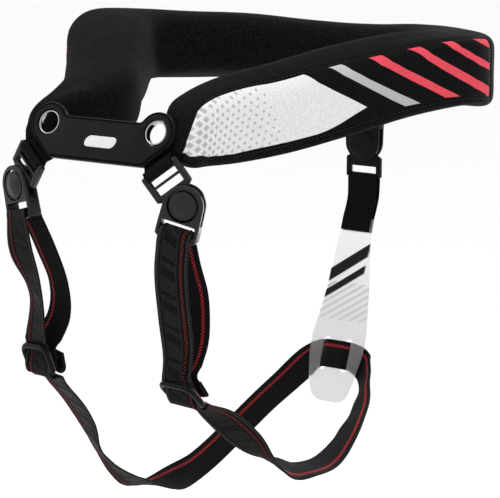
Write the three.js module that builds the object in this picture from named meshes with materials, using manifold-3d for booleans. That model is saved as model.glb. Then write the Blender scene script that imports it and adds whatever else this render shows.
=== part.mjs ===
// A protective neck collar: a padded horseshoe that sits round the neck, closed in front by a moulded
// plate and held down by straps that pass under the arms to a flexible blade on the back.
// Millimetres. +Z is up, the front of the collar faces -Y and the wearer's left is +X. The origin is in the
// neck hollow, on the middle plane, level with the lower edge of the pad's inner wall at the back.

import * as THREE from 'three';
import { mergeVertices } from 'three/addons/utils/BufferGeometryUtils.js';
import Module from 'manifold-3d';

const wasm = await Module();
wasm.setup();

// Driving dimensions
const GAP = 0.3;
const STRAP = { width: 19, thickness: 1.4 };
const REAR_STRAP = { width: 24, thickness: 1.4 };

const PAD = { stepsPerRow: 3, cornerSteps: 4 };

const PLATE = {
  centre: [0, -149.5, -2.5],
  lean: 23,
  thickness: 4,
  bevel: 0.8,
  holeSpacing: 74,
  holeRadius: 7.4,
  earRadius: 12,
  topEdge: 5,
  bottomEdge: -20,
  bottomHalfWidth: 33,
};

const EYELET = { wall: 1.5, length: 4.4, lip: 0.5, setBack: 0.6 };

const BUCKLE = {
  frameThickness: 3,
  headThickness: 8.5,
  rail: 2.2,
  barHeight: 4.2,
  frameBar: 2.8,
  strapSlot: 3.2,
  windowHeight: 5.5,
  windowInset: 1.5,
  buttonHeight: 3.9,
  buttonRingGap: 1.2,
  corner: 2,
};

// Where each buckle's button sits, the azimuth it faces, and how far its head and frame are rolled.
const BUCKLES = {
  left: { at: [57.8, -153.2, -39.7], azimuth: 17, headRoll: -15, frameRoll: 37 },
  right: { at: [-57.8, -153.2, -39.7], azimuth: -17, headRoll: 15, frameRoll: -37 },
  rear: { at: [0, 143.3, -49.8], azimuth: 180, headRoll: 180, frameRoll: 180 },
};

const SLIDER = { width: 27, height: 17, bar: 3.2, corner: 5 };
const SLIDERS = {
  left: { at: [56.7, -153.5, -147.3], azimuth: 17, roll: -18 },
  right: { at: [-45.5, -152, -142.4], azimuth: 0, roll: -15 },
};

const BLADE = { thickness: 1.6, slotOffset: 11.5, slotWidth: 5, slotHeight: 22.5 };

// Materials
const finish = (color, roughness, metalness = 0) =>
  new THREE.MeshStandardMaterial({ color, roughness, metalness });
const MATERIALS = {
  fabric: finish(0x1d1d1d, 0.85),
  moulded: finish(0x262626, 0.5),
  buckle: finish(0x333333, 0.4),
  nickel: finish(0xc8c8c8, 0.2, 1),
  webbing: finish(0x222222, 0.8),
  blade: finish(0xe8e8e8, 0.45),
};

// Small helpers

const vec = (x, y, z) => new THREE.Vector3(x, y, z);
const radians = THREE.MathUtils.degToRad;

/** A closed geometry through rings of equal length, with a flat fan over each end. */
function loft(rings) {
  const count = rings[0].length;
  const points = rings.flat();
  const triangles = [];
  for (let ring = 0; ring + 1 < rings.length; ring++) {
    for (let i = 0; i < count; i++) {
      const a = ring * count + i;
      const b = ring * count + ((i + 1) % count);
      triangles.push(a, b, a + count, b, b + count, a + count);
    }
  }
  const capEnd = (ring, flip) => {
    const middle = points.length;
    const centre = rings[ring].reduce((sum, p) => sum.add(p), vec(0, 0, 0)).divideScalar(count);
    points.push(centre);
    for (let i = 0; i < count; i++) {
      const a = ring * count + i;
      const b = ring * count + ((i + 1) % count);
      triangles.push(...(flip ? [middle, b, a] : [middle, a, b]));
    }
  };
  capEnd(0, true);
  capEnd(rings.length - 1, false);
  const geometry = new THREE.BufferGeometry().setFromPoints(points);
  geometry.setIndex(triangles);
  return geometry;
}

/** A flat band through rows of { point, across }, each row giving the direction of its width. */
function ribbon(rows, { width, thickness }) {
  const rings = rows.map(({ point, across }, i) => {
    const before = rows[Math.max(i - 1, 0)].point;
    const after = rows[Math.min(i + 1, rows.length - 1)].point;
    const along = after.clone().sub(before).normalize();
    const side = across.clone().addScaledVector(along, -across.dot(along)).normalize();
    const face = along.clone().cross(side);
    const corner = (u, v) => point.clone().addScaledVector(side, (u * width) / 2)
      .addScaledVector(face, (v * thickness) / 2);
    return [corner(-1, -1), corner(1, -1), corner(1, 1), corner(-1, 1)];
  });
  return loft(rings);
}

/** Rows along a smooth curve through a table's rows, with the width direction carried along. */
function smoothRows(rows, stepsPerRow) {
  const route = new THREE.CatmullRomCurve3(rows.map((row) => row.point), false, 'centripetal');
  const turn = new THREE.CatmullRomCurve3(rows.map((row) => row.across), false, 'catmullrom');
  const steps = (rows.length - 1) * stepsPerRow;
  return Array.from({ length: steps + 1 }, (_, i) => ({
    point: route.getPoint(i / steps),
    across: turn.getPoint(i / steps).normalize(),
  }));
}

/** A closed solid for joining and cutting. */
function solid(geometry) {
  const bare = geometry.clone();
  bare.deleteAttribute('normal');
  bare.deleteAttribute('uv');
  const merged = mergeVertices(bare, 1e-4);
  return new wasm.Manifold(new wasm.Mesh({
    numProp: 3,
    vertProperties: new Float32Array(merged.attributes.position.array),
    triVerts: new Uint32Array(merged.index.array),
  }));
}

/** The first geometry with the others cut away. */
function cut(geometry, ...tools) {
  const result = tools.reduce((body, tool) => body.subtract(solid(tool)), solid(geometry)).getMesh();
  const out = new THREE.BufferGeometry();
  out.setAttribute('position', new THREE.BufferAttribute(new Float32Array(result.vertProperties), 3));
  out.setIndex(new THREE.BufferAttribute(new Uint32Array(result.triVerts), 1));
  return out;
}

/** An outline pushed out to a thickness with rounded edges, centred on its own plane. */
function slab(shape, thickness, bevel, bevelSegments = 2, curveSegments = 10) {
  const depth = thickness - 2 * bevel;
  const geometry = new THREE.ExtrudeGeometry(shape, {
    depth,
    bevelEnabled: bevel > 0,
    bevelThickness: bevel,
    bevelSize: bevel,
    bevelOffset: -bevel,
    bevelSegments,
    curveSegments,
  });
  return geometry.translate(0, 0, -depth / 2);
}

/** A rectangle with rounded corners, as a shape or as a hole. */
function roundedRectangle(Kind, x, y, width, height, radius) {
  const outline = new Kind();
  const right = x + width / 2;
  const left = x - width / 2;
  const top = y + height / 2;
  const bottom = y - height / 2;
  outline.moveTo(right, bottom + radius);
  outline.absarc(right - radius, top - radius, radius, 0, Math.PI / 2, false);
  outline.absarc(left + radius, top - radius, radius, Math.PI / 2, Math.PI, false);
  outline.absarc(left + radius, bottom + radius, radius, Math.PI, 1.5 * Math.PI, false);
  outline.absarc(right - radius, bottom + radius, radius, 1.5 * Math.PI, 2 * Math.PI, false);
  return outline;
}

const collar = new THREE.Group();

function addPiece(parent, name, geometry, material) {
  const mesh = new THREE.Mesh(geometry, material);
  mesh.name = name;
  parent.add(mesh);
  return mesh;
}

// Collar pad: one foam horseshoe in a fabric cover. Each row is a section of the wearer's left half, from
// the tip behind the plate's ear to the middle of the back, and the right half mirrors it.

const PAD_SECTIONS = [
  { outer: [56, -149], inner: [49, -149], topOuter: -8, topInner: -8, bottomOuter: -13, bottomInner: -13 },
  { outer: [60, -141], inner: [34, -134], topOuter: 4, topInner: 7, bottomOuter: -23, bottomInner: -21 },
  { outer: [59, -125], inner: [22, -107], topOuter: 13, topInner: 17, bottomOuter: -25, bottomInner: -20 },
  { outer: [65, -103], inner: [25, -80], topOuter: 18, topInner: 23, bottomOuter: -25, bottomInner: -17 },
  { outer: [80, -81], inner: [45, -48], topOuter: 22, topInner: 30, bottomOuter: -22, bottomInner: -10 },
  { outer: [102, -51], inner: [62, -19], topOuter: 29, topInner: 36, bottomOuter: -15, bottomInner: -3 },
  { outer: [128, -15], inner: [80, 12], topOuter: 37, topInner: 41, bottomOuter: -9, bottomInner: 4 },
  { outer: [142, 22], inner: [88, 30], topOuter: 41, topInner: 42, bottomOuter: -6, bottomInner: 6 },
  { outer: [138, 60], inner: [86, 44], topOuter: 41, topInner: 42, bottomOuter: -7, bottomInner: 6 },
  { outer: [117, 93], inner: [74, 58], topOuter: 39, topInner: 40, bottomOuter: -8, bottomInner: 5 },
  { outer: [78, 122], inner: [51, 77], topOuter: 35, topInner: 37, bottomOuter: -9, bottomInner: 3 },
  { outer: [38, 136], inner: [26, 88], topOuter: 32, topInner: 35, bottomOuter: -10, bottomInner: 2 },
  { outer: [0, 140], inner: [0, 92], topOuter: 31, topInner: 34, bottomOuter: -10, bottomInner: 1 },
];
const PAD_ROUNDING = { topOuter: 0.3, topInner: 0.34, bottomInner: 0.3, bottomOuter: 0.3 };

function padSection(corners) {
  const count = corners.length;
  const { topOuter, topInner, bottomInner, bottomOuter } = PAD_ROUNDING;
  const shares = [topOuter, topInner, bottomInner, bottomOuter];
  return corners.flatMap((corner, i) => {
    const from = corner.clone().lerp(corners[(i + count - 1) % count], shares[i]);
    const to = corner.clone().lerp(corners[(i + 1) % count], shares[i]);
    const round = new THREE.QuadraticBezierCurve3(from, corner, to);
    return round.getPoints(PAD.cornerSteps);
  });
}

function collarPad() {
  const mirrored = PAD_SECTIONS.slice(0, -1).map((row) => ({
    ...row, outer: [-row.outer[0], row.outer[1]], inner: [-row.inner[0], row.inner[1]],
  }));
  const rows = [...mirrored, ...PAD_SECTIONS.slice().reverse()];
  const edge = (place, height) => new THREE.CatmullRomCurve3(
    rows.map((row) => vec(...row[place], row[height])), false, 'centripetal');
  const edges = [
    edge('outer', 'topOuter'),
    edge('inner', 'topInner'),
    edge('inner', 'bottomInner'),
    edge('outer', 'bottomOuter'),
  ];
  const steps = (rows.length - 1) * PAD.stepsPerRow;
  const section = (at) => padSection(edges.map((curve) => curve.getPoint(at)));
  return loft(Array.from({ length: steps + 1 }, (_, i) => section(i / steps)));
}

addPiece(collar, 'collar_pad', collarPad(), MATERIALS.fabric);

// Front plate: a flat moulding with a round ear at each end, leaning back against the tips of the pad.

const plateGroup = new THREE.Group();
plateGroup.position.set(...PLATE.centre);
plateGroup.rotation.x = radians(90 - PLATE.lean);
plateGroup.updateWorldMatrix(true, false);
collar.add(plateGroup);

function plateOutline() {
  const { earRadius, topEdge, bottomEdge, bottomHalfWidth } = PLATE;
  const ear = PLATE.holeSpacing / 2;
  const shoulder = Math.PI - Math.asin(topEdge / earRadius);
  const toCorner = Math.hypot(ear - bottomHalfWidth, bottomEdge);
  const cornerAngle = Math.atan2(-bottomEdge, ear - bottomHalfWidth);
  const flank = cornerAngle - Math.asin(earRadius / toCorner) - Math.PI / 2;
  const outline = new THREE.Shape();
  outline.moveTo(-bottomHalfWidth, bottomEdge);
  outline.lineTo(bottomHalfWidth, bottomEdge);
  outline.absarc(ear, 0, earRadius, flank, shoulder, false);
  outline.absarc(-ear, 0, earRadius, Math.PI - shoulder, Math.PI - flank, false);
  outline.closePath();
  for (const side of [-1, 1]) {
    outline.holes.push(new THREE.Path().absarc(side * ear, 0, PLATE.holeRadius, 0, 2 * Math.PI, true));
  }
  return outline;
}

addPiece(plateGroup, 'front_plate', slab(plateOutline(), PLATE.thickness, PLATE.bevel), MATERIALS.moulded);

// Eyelets: rolled metal rings in the plate's holes.

function eyelet() {
  const outer = PLATE.holeRadius - GAP;
  const inner = outer - EYELET.wall;
  const half = EYELET.length / 2;
  const rim = half - EYELET.lip;
  const section = [[inner, -half], [outer, -half], [outer, rim], [(inner + outer) / 2, half], [inner, rim]];
  const profile = [...section, section[0]].map(([r, y]) => new THREE.Vector2(r, y));
  return new THREE.LatheGeometry(profile, 28).rotateX(Math.PI / 2);
}

for (const [name, side] of [['left', 1], ['right', -1]]) {
  const ring = addPiece(plateGroup, `eyelet_${name}`, eyelet(), MATERIALS.nickel);
  ring.position.set((side * PLATE.holeSpacing) / 2, 0, -EYELET.setBack);
}

// Swivel buckles: a frame with a round tongue, held in a forked head by a domed button. Webbing passes
// round the bar at the far end of each.

function buckleSizes(strap) {
  const slot = strap.width + 2 * GAP;
  const halfWidth = slot / 2 + BUCKLE.rail;
  const tongue = halfWidth - 3.4;
  const slitBottom = -(tongue + 2 * GAP);
  const slotTop = slitBottom - 3.2;
  const barTop = slotTop - BUCKLE.strapSlot;
  const windowBottom = halfWidth - 2.5;
  const windowTop = windowBottom + BUCKLE.windowHeight;
  const tabSlotBottom = windowTop + 2;
  const tabSlotTop = tabSlotBottom + BUCKLE.strapSlot;
  return {
    slot,
    halfWidth,
    tongue,
    slitBottom,
    slotTop,
    barTop,
    windowBottom,
    windowTop,
    tabSlotBottom,
    tabSlotTop,
    barBottom: barTop - BUCKLE.barHeight,
    frameTop: tabSlotTop + BUCKLE.frameBar,
    button: tongue - 0.6,
  };
}

function buckleFrame(strap) {
  const size = buckleSizes(strap);
  const { halfWidth, tongue, frameTop } = size;
  const { corner } = BUCKLE;
  const neck = Math.PI / 4;
  const shoulder = size.windowBottom - 0.5;
  const outline = new THREE.Shape();
  for (const turn of [3, 5, 7]) {
    outline.absarc(0, 0, tongue, turn * neck, (turn + 2) * neck, false);
  }
  outline.lineTo(halfWidth, shoulder);
  outline.absarc(halfWidth - corner, frameTop - corner, corner, 0, Math.PI / 2, false);
  outline.absarc(-halfWidth + corner, frameTop - corner, corner, Math.PI / 2, Math.PI, false);
  outline.lineTo(-halfWidth, shoulder);
  outline.closePath();
  const window = (bottom, top, width) =>
    roundedRectangle(THREE.Path, 0, (bottom + top) / 2, width, top - bottom, 0.8);
  outline.holes.push(window(size.windowBottom, size.windowTop, size.slot - 2 * BUCKLE.windowInset));
  outline.holes.push(window(size.tabSlotBottom, size.tabSlotTop, size.slot));
  return slab(outline, BUCKLE.frameThickness, 0.6, 1, 2);
}

function buckleHead(strap) {
  const size = buckleSizes(strap);
  const { halfWidth, barBottom } = size;
  const { corner } = BUCKLE;
  const outline = new THREE.Shape();
  outline.absarc(0, 0, halfWidth - 0.4, 0, Math.PI / 2, false);
  outline.absarc(0, 0, halfWidth - 0.4, Math.PI / 2, Math.PI, false);
  outline.lineTo(-halfWidth, size.slotTop);
  outline.absarc(-halfWidth + corner, barBottom + corner, corner, Math.PI, 1.5 * Math.PI, false);
  outline.absarc(halfWidth - corner, barBottom + corner, corner, 1.5 * Math.PI, 2 * Math.PI, false);
  outline.lineTo(halfWidth, size.slotTop);
  outline.closePath();
  const slotMiddle = (size.slotTop + size.barTop) / 2;
  outline.holes.push(roundedRectangle(THREE.Path, 0, slotMiddle, size.slot, BUCKLE.strapSlot, 0.8));
  const body = slab(outline, BUCKLE.headThickness, 0.7, 1, 3);
  const slitHeight = 3 * halfWidth;
  const slit = new THREE.BoxGeometry(4 * halfWidth, slitHeight, BUCKLE.frameThickness + 2 * GAP);
  slit.translate(0, size.slitBottom + slitHeight / 2, 0);
  const wellRadius = size.button + BUCKLE.buttonRingGap;
  const well = new THREE.CylinderGeometry(wellRadius, wellRadius, BUCKLE.headThickness, 28);
  well.rotateX(Math.PI / 2).translate(0, 0, BUCKLE.headThickness / 2);
  return cut(body, slit, well);
}

function buckleButton(strap) {
  const { button } = buckleSizes(strap);
  const foot = BUCKLE.frameThickness / 2 + GAP;
  const rim = foot + 0.55 * BUCKLE.buttonHeight;
  const crown = foot + BUCKLE.buttonHeight;
  const domeSteps = 4;
  const dome = Array.from({ length: domeSteps + 1 }, (_, i) => {
    const turn = (i / domeSteps) * (Math.PI / 2);
    const radius = i === domeSteps ? 0 : button * Math.cos(turn);
    return new THREE.Vector2(radius, rim + (crown - rim) * Math.sin(turn));
  });
  const profile = [new THREE.Vector2(0, foot), new THREE.Vector2(button, foot), ...dome];
  return new THREE.LatheGeometry(profile, 24).rotateX(Math.PI / 2);
}

/** A group standing upright: x to the right of someone facing it, y up, z out along the azimuth. */
function uprightGroup(at, azimuth) {
  const turn = radians(azimuth);
  const right = vec(Math.cos(turn), Math.sin(turn), 0);
  const out = vec(Math.sin(turn), -Math.cos(turn), 0);
  const group = new THREE.Group();
  group.quaternion.setFromRotationMatrix(new THREE.Matrix4().makeBasis(right, vec(0, 0, 1), out));
  group.position.set(...at);
  collar.add(group);
  return group;
}

function rolledGroup(parent, roll) {
  const group = new THREE.Group();
  group.rotation.z = radians(roll);
  parent.add(group);
  group.updateWorldMatrix(true, false);
  return group;
}

function addBuckle({ at, azimuth, headRoll, frameRoll }, strap, names) {
  const place = uprightGroup(at, azimuth);
  const frame = rolledGroup(place, frameRoll);
  const head = rolledGroup(place, headRoll);
  addPiece(frame, names.frame, buckleFrame(strap), MATERIALS.buckle);
  addPiece(head, names.head, buckleHead(strap), MATERIALS.buckle);
  addPiece(head, names.button, buckleButton(strap), MATERIALS.buckle);
  return { place, frame, head };
}

const buckleNames = (side) => ({
  frame: `buckle_frame_${side}`, head: `buckle_head_${side}`, button: `buckle_button_${side}`,
});
const rearNames = { frame: 'rear_frame', head: 'rear_head', button: 'rear_button' };
const buckles = {
  left: addBuckle(BUCKLES.left, STRAP, buckleNames('left')),
  right: addBuckle(BUCKLES.right, STRAP, buckleNames('right')),
  rear: addBuckle(BUCKLES.rear, REAR_STRAP, rearNames),
};

// Sliders: oval moulded loops that set the length of the straps.

function sliderLoop() {
  const { width, height, bar, corner } = SLIDER;
  const outline = roundedRectangle(THREE.Shape, 0, 0, width, height, corner);
  outline.holes.push(roundedRectangle(
    THREE.Path, 0, 0, width - 2 * bar, height - 2 * bar, corner - bar + 0.2));
  return slab(outline, bar, bar / 3, 2, 2);
}

const sliders = {};
for (const [side, { at, azimuth, roll }] of Object.entries(SLIDERS)) {
  sliders[side] = rolledGroup(uprightGroup(at, azimuth), roll);
  addPiece(sliders[side], `slider_${side}`, sliderLoop(), MATERIALS.buckle);
}

// Webbing. A row's point and width direction are carried from a group's own axes to the collar's.

function rowIn(group, [x, y, z], across = [1, 0, 0]) {
  return {
    point: vec(x, y, z).applyMatrix4(group.matrixWorld),
    across: vec(...across).transformDirection(group.matrixWorld),
  };
}

const acrossAt = (turn, roll = 0) => {
  const [t, r] = [radians(turn), radians(roll)];
  return [Math.cos(r) * Math.cos(t), Math.sin(r), -Math.cos(r) * Math.sin(t)];
};

/** Points round a bar of half sizes (height, depth), from its front over the far side to its back. */
function roundBar(group, y, height, depth, towards, thickness) {
  const reach = GAP + thickness / 2 + 0.05;
  const bend = 0.75 * reach;
  return [
    [y - towards * height, depth + reach],
    [y + towards * (height - 0.4), depth + reach],
    [y + towards * (height + bend), depth + bend],
    [y + towards * (height + reach), depth - 0.4],
    [y + towards * (height + reach), 0.4 - depth],
    [y + towards * (height + bend), -depth - bend],
    [y + towards * (height - 0.4), -depth - reach],
    [y - towards * height, -depth - reach],
  ].map(([up, out]) => rowIn(group, [0, up, out]));
}

// Tabs that hang the front buckles behind the ears of the plate. The top rows are measured from the middle
// of the hole; the others give the height above the frame and the distance in front of its middle.

const TAB_TOP = [{ x: -0.25, y: -11.1 }, { x: 2.6, y: -14.4 }];
const TAB_ACROSS = { x: 0.764, y: 0.645 };
const TAB_SEWN = [{ above: 3, out: -2.8 }, { above: 3, out: 1.2 }];

function frontTab(side, sign) {
  const size = buckleSizes(STRAP);
  const { frame } = buckles[side];
  const bar = roundBar(frame, size.tabSlotTop + BUCKLE.frameBar / 2, BUCKLE.frameBar / 2,
    BUCKLE.frameThickness / 2, -1, STRAP.thickness);
  const behind = -(PLATE.thickness / 2 + GAP + STRAP.thickness / 2 + 0.05);
  const ear = (sign * PLATE.holeSpacing) / 2;
  const upper = TAB_TOP.map(({ x, y }) =>
    rowIn(plateGroup, [ear + sign * x, y, behind], [TAB_ACROSS.x, sign * TAB_ACROSS.y, 0]));
  const sewn = TAB_SEWN.map(({ above, out }) => rowIn(frame, [0, size.frameTop + above, out]));
  return ribbon([...upper, sewn[0], ...bar.reverse(), sewn[1]], STRAP);
}

for (const [side, sign] of [['left', 1], ['right', -1]]) {
  addPiece(collar, `front_tab_${side}`, frontTab(side, sign), MATERIALS.webbing);
}

// Loop straps: each runs from its slider up to the bar of the buckle's head and back down.

const LOOPS = {
  left: {
    front: [
      { at: [-3, -80, 3], turn: 0 },
      { at: [-4.5, -58, 7], turn: 0 },
      { at: [-5.8, -36, 7.5], turn: 2, roll: -8 },
    ],
    back: [
      { at: [-4, -36, -9], turn: 2, roll: -8 },
      { at: [-1.5, -58, -14], turn: 0 },
      { at: [0, -82, -12], turn: 0 },
    ],
  },
  right: {
    front: [
      { at: [15, -80, 0], turn: 0 },
      { at: [16, -60, 1], turn: -14 },
      { at: [10, -40, 4], turn: -8, roll: 8 },
    ],
    back: [
      { at: [12, -40, -11], turn: -8, roll: 8 },
      { at: [18, -60, -15], turn: -14 },
      { at: [17.5, -80, -14], turn: 0 },
    ],
  },
};

function sliderEntry(side) {
  const barY = SLIDER.height / 2 - SLIDER.bar / 2;
  const reach = SLIDER.bar / 2 + GAP + STRAP.thickness / 2 + 0.05;
  const underBar = [96, 72, 48, 24, 0].map((degrees) => {
    const turn = radians(degrees);
    return [-barY - reach * Math.sin(turn), reach * Math.cos(turn)];
  });
  const weave = [
    [-barY / 2, 0.75 * reach], [0, 0], [barY / 2, -0.75 * reach], [barY, -reach], [barY + 3, -reach],
  ];
  return [...underBar, ...weave].map(([y, z]) => rowIn(sliders[side], [0, y, z]));
}

function loopStrap(side) {
  const { place, head } = buckles[side];
  const size = buckleSizes(STRAP);
  const free = (rows) => rows.map(({ at, turn, roll }) => rowIn(place, at, acrossAt(turn, roll)));
  const entry = sliderEntry(side);
  const bar = roundBar(head, size.barTop - BUCKLE.barHeight / 2, BUCKLE.barHeight / 2,
    BUCKLE.headThickness / 2, 1, STRAP.thickness);
  const front = smoothRows([entry.at(-1), ...free(LOOPS[side].front), bar[0]], 3);
  const end = rowIn(sliders[side], [0, 2, -5.2]);
  const back = smoothRows([bar.at(-1), ...free(LOOPS[side].back), end], 3);
  return ribbon([...entry, ...front.slice(1, -1), ...bar, ...back.slice(1)], STRAP);
}

for (const side of ['left', 'right']) {
  addPiece(collar, `loop_strap_${side}`, loopStrap(side), MATERIALS.webbing);
}

// Back blade: a springy plate that curves in towards the body, with two upright slots for the long strap.
// Each row gives the middle line (y, z) and half the width.

const BLADE_SECTIONS = [
  { y: 136.4, z: -101, half: 12 },
  { y: 130.5, z: -115.3, half: 13 },
  { y: 123.1, z: -147.9, half: 16.3 },
  { y: 116.8, z: -165.4, half: 18.8 },
  { y: 111.7, z: -178.3, half: 20.6 },
  { y: 107.2, z: -190, half: 20.2 },
  { y: 102.6, z: -201.5, half: 18 },
  { y: 99.2, z: -211.5, half: 15.6 },
  { y: 97.8, z: -217.5, half: 12.8 },
  { y: 97.2, z: -220.4, half: 8.6 },
];
const SLOT_ROW = 5;

const bladeLine = new THREE.CatmullRomCurve3(
  BLADE_SECTIONS.map(({ y, z }) => vec(0, y, z)), false, 'centripetal');
const slotAt = SLOT_ROW / (BLADE_SECTIONS.length - 1);
const slotPoint = bladeLine.getPoint(slotAt);
const slotDown = bladeLine.getTangent(slotAt);
const slotFront = vec(1, 0, 0).cross(slotDown).negate();

function backBlade() {
  const widths = new THREE.CatmullRomCurve3(BLADE_SECTIONS.map(({ half }, i) => vec(half, i, 0)));
  const steps = (BLADE_SECTIONS.length - 1) * 2;
  const rings = Array.from({ length: steps + 1 }, (_, i) => {
    const at = i / steps;
    const back = vec(1, 0, 0).cross(bladeLine.getTangent(at)).multiplyScalar(BLADE.thickness / 2);
    const half = widths.getPoint(at).x;
    const corner = (u, v) => bladeLine.getPoint(at).addScaledVector(back, v).add(vec(u * half, 0, 0));
    return [corner(-1, 1), corner(1, 1), corner(1, -1), corner(-1, -1)];
  });
  const slots = [-1, 1].map((side) => {
    const slot = new THREE.BoxGeometry(BLADE.slotWidth, BLADE.slotHeight, 6 * BLADE.thickness);
    const turn = new THREE.Matrix4().makeBasis(vec(1, 0, 0), slotDown.clone().negate(), slotFront);
    slot.applyMatrix4(turn);
    return slot.translate(side * BLADE.slotOffset, slotPoint.y, slotPoint.z);
  });
  return cut(loft(rings), ...slots);
}

addPiece(collar, 'back_blade', backBlade(), MATERIALS.blade);

// Rear tab and strap: doubled webbing from the pad to the rear buckle, and from there to the blade.

const rearSize = buckleSizes(REAR_STRAP);
const rearRow = (y, z) => ({ point: vec(0, y, z), across: vec(-1, 0, 0) });

function rearTab() {
  const bar = roundBar(buckles.rear.head, rearSize.barTop - BUCKLE.barHeight / 2, BUCKLE.barHeight / 2,
    BUCKLE.headThickness / 2, 1, REAR_STRAP.thickness);
  const onPad = [rearRow(141.4, 12), rearRow(141.4, 2), rearRow(143, -9), rearRow(146.6, -18)];
  const underPad = [rearRow(137.6, -20), rearRow(136.2, -11.6)];
  return ribbon([...onPad, ...bar, ...underPad], REAR_STRAP);
}

function rearStrap() {
  const bar = roundBar(buckles.rear.frame, rearSize.tabSlotTop + BUCKLE.frameBar / 2, BUCKLE.frameBar / 2,
    BUCKLE.frameThickness / 2, -1, REAR_STRAP.thickness);
  const [top, next] = BLADE_SECTIONS;
  const reach = BLADE.thickness / 2 + GAP + REAR_STRAP.thickness / 2 + 0.05;
  const down = vec(0, next.y - top.y, next.z - top.z).normalize();
  const front = vec(1, 0, 0).cross(down).negate();
  const beside = (distance, side) => ({
    point: vec(0, top.y, top.z).addScaledVector(down, distance).addScaledVector(front, side * reach),
    across: vec(-1, 0, 0),
  });
  const backLayer = smoothRows([beside(9, -1), beside(0, -1), rearRow(144.4, -88), bar[0]], 2);
  const frontLayer = smoothRows([bar.at(-1), rearRow(140.2, -88), beside(0, 1), beside(9, 1)], 2);
  return ribbon([...backLayer.slice(0, -1), ...bar, ...frontLayer.slice(1)], REAR_STRAP);
}

addPiece(collar, 'rear_tab', rearTab(), MATERIALS.webbing);
addPiece(collar, 'rear_strap', rearStrap(), MATERIALS.webbing);

// Long strap: one length from the left slider, under the left arm, through the slots of the blade, and
// under the right arm to the right slider. `across` points to the edge with the coloured stitching.

const UNDER_LEFT_ARM = [
  { at: [59.5, -126.5, -163.5], across: [0.93, 0.12, 0.35] },
  { at: [64.5, -118, -173], across: [0.82, 0.28, 0.51] },
  { at: [70.5, -109, -183], across: [0.92, 0.15, 0.38] },
  { at: [78, -99, -196], across: [0.96, -0.28, -0.1] },
  { at: [80, -83, -205], across: [0.84, -0.19, -0.51] },
  { at: [80, -64, -210.5], across: [0.96, 0.05, -0.26] },
  { at: [76, -32, -215], across: [0.99, 0.05, -0.05] },
  { at: [66, 8, -212], across: [0.91, 0.2, 0.37] },
  { at: [58, 31, -209.5], across: [0.82, 0.25, 0.5] },
  { at: [47, 59, -208], across: [0.62, 0.35, 0.7] },
  { at: [36, 81, -205], across: [0.4, 0.35, 0.85] },
  { at: [28.5, 98.5, -201], across: [0.2, 0.35, 0.92] },
];
const UNDER_RIGHT_ARM = [
  { at: [-30, 101, -207], across: [-0.1, 0.1, 0.98] },
  { at: [-42, 84, -223], across: [-0.35, -0.4, 0.85] },
  { at: [-51, 69, -237], across: [-0.42, -0.5, 0.75] },
  { at: [-58, 40, -253], across: [-0.38, -0.58, 0.72] },
  { at: [-60, 16, -259], across: [-0.35, -0.5, 0.75] },
  { at: [-60, -20, -257], across: [-0.96, 0, 0.26] },
  { at: [-60, -45, -248], across: [-0.99, -0.1, -0.05] },
  { at: [-57, -86, -213], across: [-0.84, 0.28, 0.45] },
  { at: [-53, -102, -192], across: [-0.95, 0.06, 0.27] },
  { at: [-48, -126, -168], across: [-0.97, 0, 0.2] },
];

// The strap's place across the blade at each slot: distance from the middle, distance in front of the
// blade, and how far it has dropped.
const THREADED = [
  { x: 22, front: -3.4, drop: 4.5 },
  { x: 16.5, front: -2.9, drop: 0.8 },
  { x: 13.4, front: -1.6, drop: 0 },
  { x: 11.5, front: 0, drop: 0 },
  { x: 9.6, front: 1.6, drop: 0 },
  { x: 7, front: 2.4, drop: 0 },
  { x: 0, front: 2.5, drop: 0 },
];

function sliderExit(side, sign) {
  const [end, next] = sliderEntry(side);
  const away = end.point.clone().sub(next.point).normalize();
  const leave = (distance) => ({
    point: end.point.clone().addScaledVector(away, distance), across: end.across.clone().multiplyScalar(sign),
  });
  return [leave(2 * GAP), leave(6)];
}

function longStrap() {
  const threaded = ({ x, front, drop }, side) => ({
    point: slotPoint.clone().addScaledVector(slotFront, front).addScaledVector(slotDown, drop)
      .add(vec(side * x, 0, 0)),
    across: slotDown.clone().negate(),
  });
  const intoBlade = THREADED.map((row) => threaded(row, 1));
  const outOfBlade = THREADED.slice(0, -1).reverse().map((row) => threaded(row, -1));
  const table = (rows) => rows.map(({ at, across }) => ({
    point: vec(...at), across: vec(...across).normalize(),
  }));
  const [leftEnd, leftExit] = sliderExit('left', 1);
  const [rightEnd, rightExit] = sliderExit('right', -1);
  const left = smoothRows([leftExit, ...table(UNDER_LEFT_ARM), intoBlade[0]], 3);
  const right = smoothRows([outOfBlade.at(-1), ...table(UNDER_RIGHT_ARM), rightExit], 3);
  const blade = [...intoBlade.slice(1), ...outOfBlade.slice(0, -1)];
  return ribbon([leftEnd, ...left, ...blade, ...right, rightEnd], STRAP);
}

addPiece(collar, 'long_strap', longStrap(), MATERIALS.webbing);

export default collar;
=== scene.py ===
# A protective neck collar: a padded horseshoe closed by a front plate, with swivel buckles and webbing that
# passes under the arms to a springy blade on the back. Metres, +Z up, the front faces -Y.
import math

import bmesh
import bpy
import numpy as np
from mathutils import Matrix, Quaternion, Vector
from mathutils.kdtree import KDTree


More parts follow.
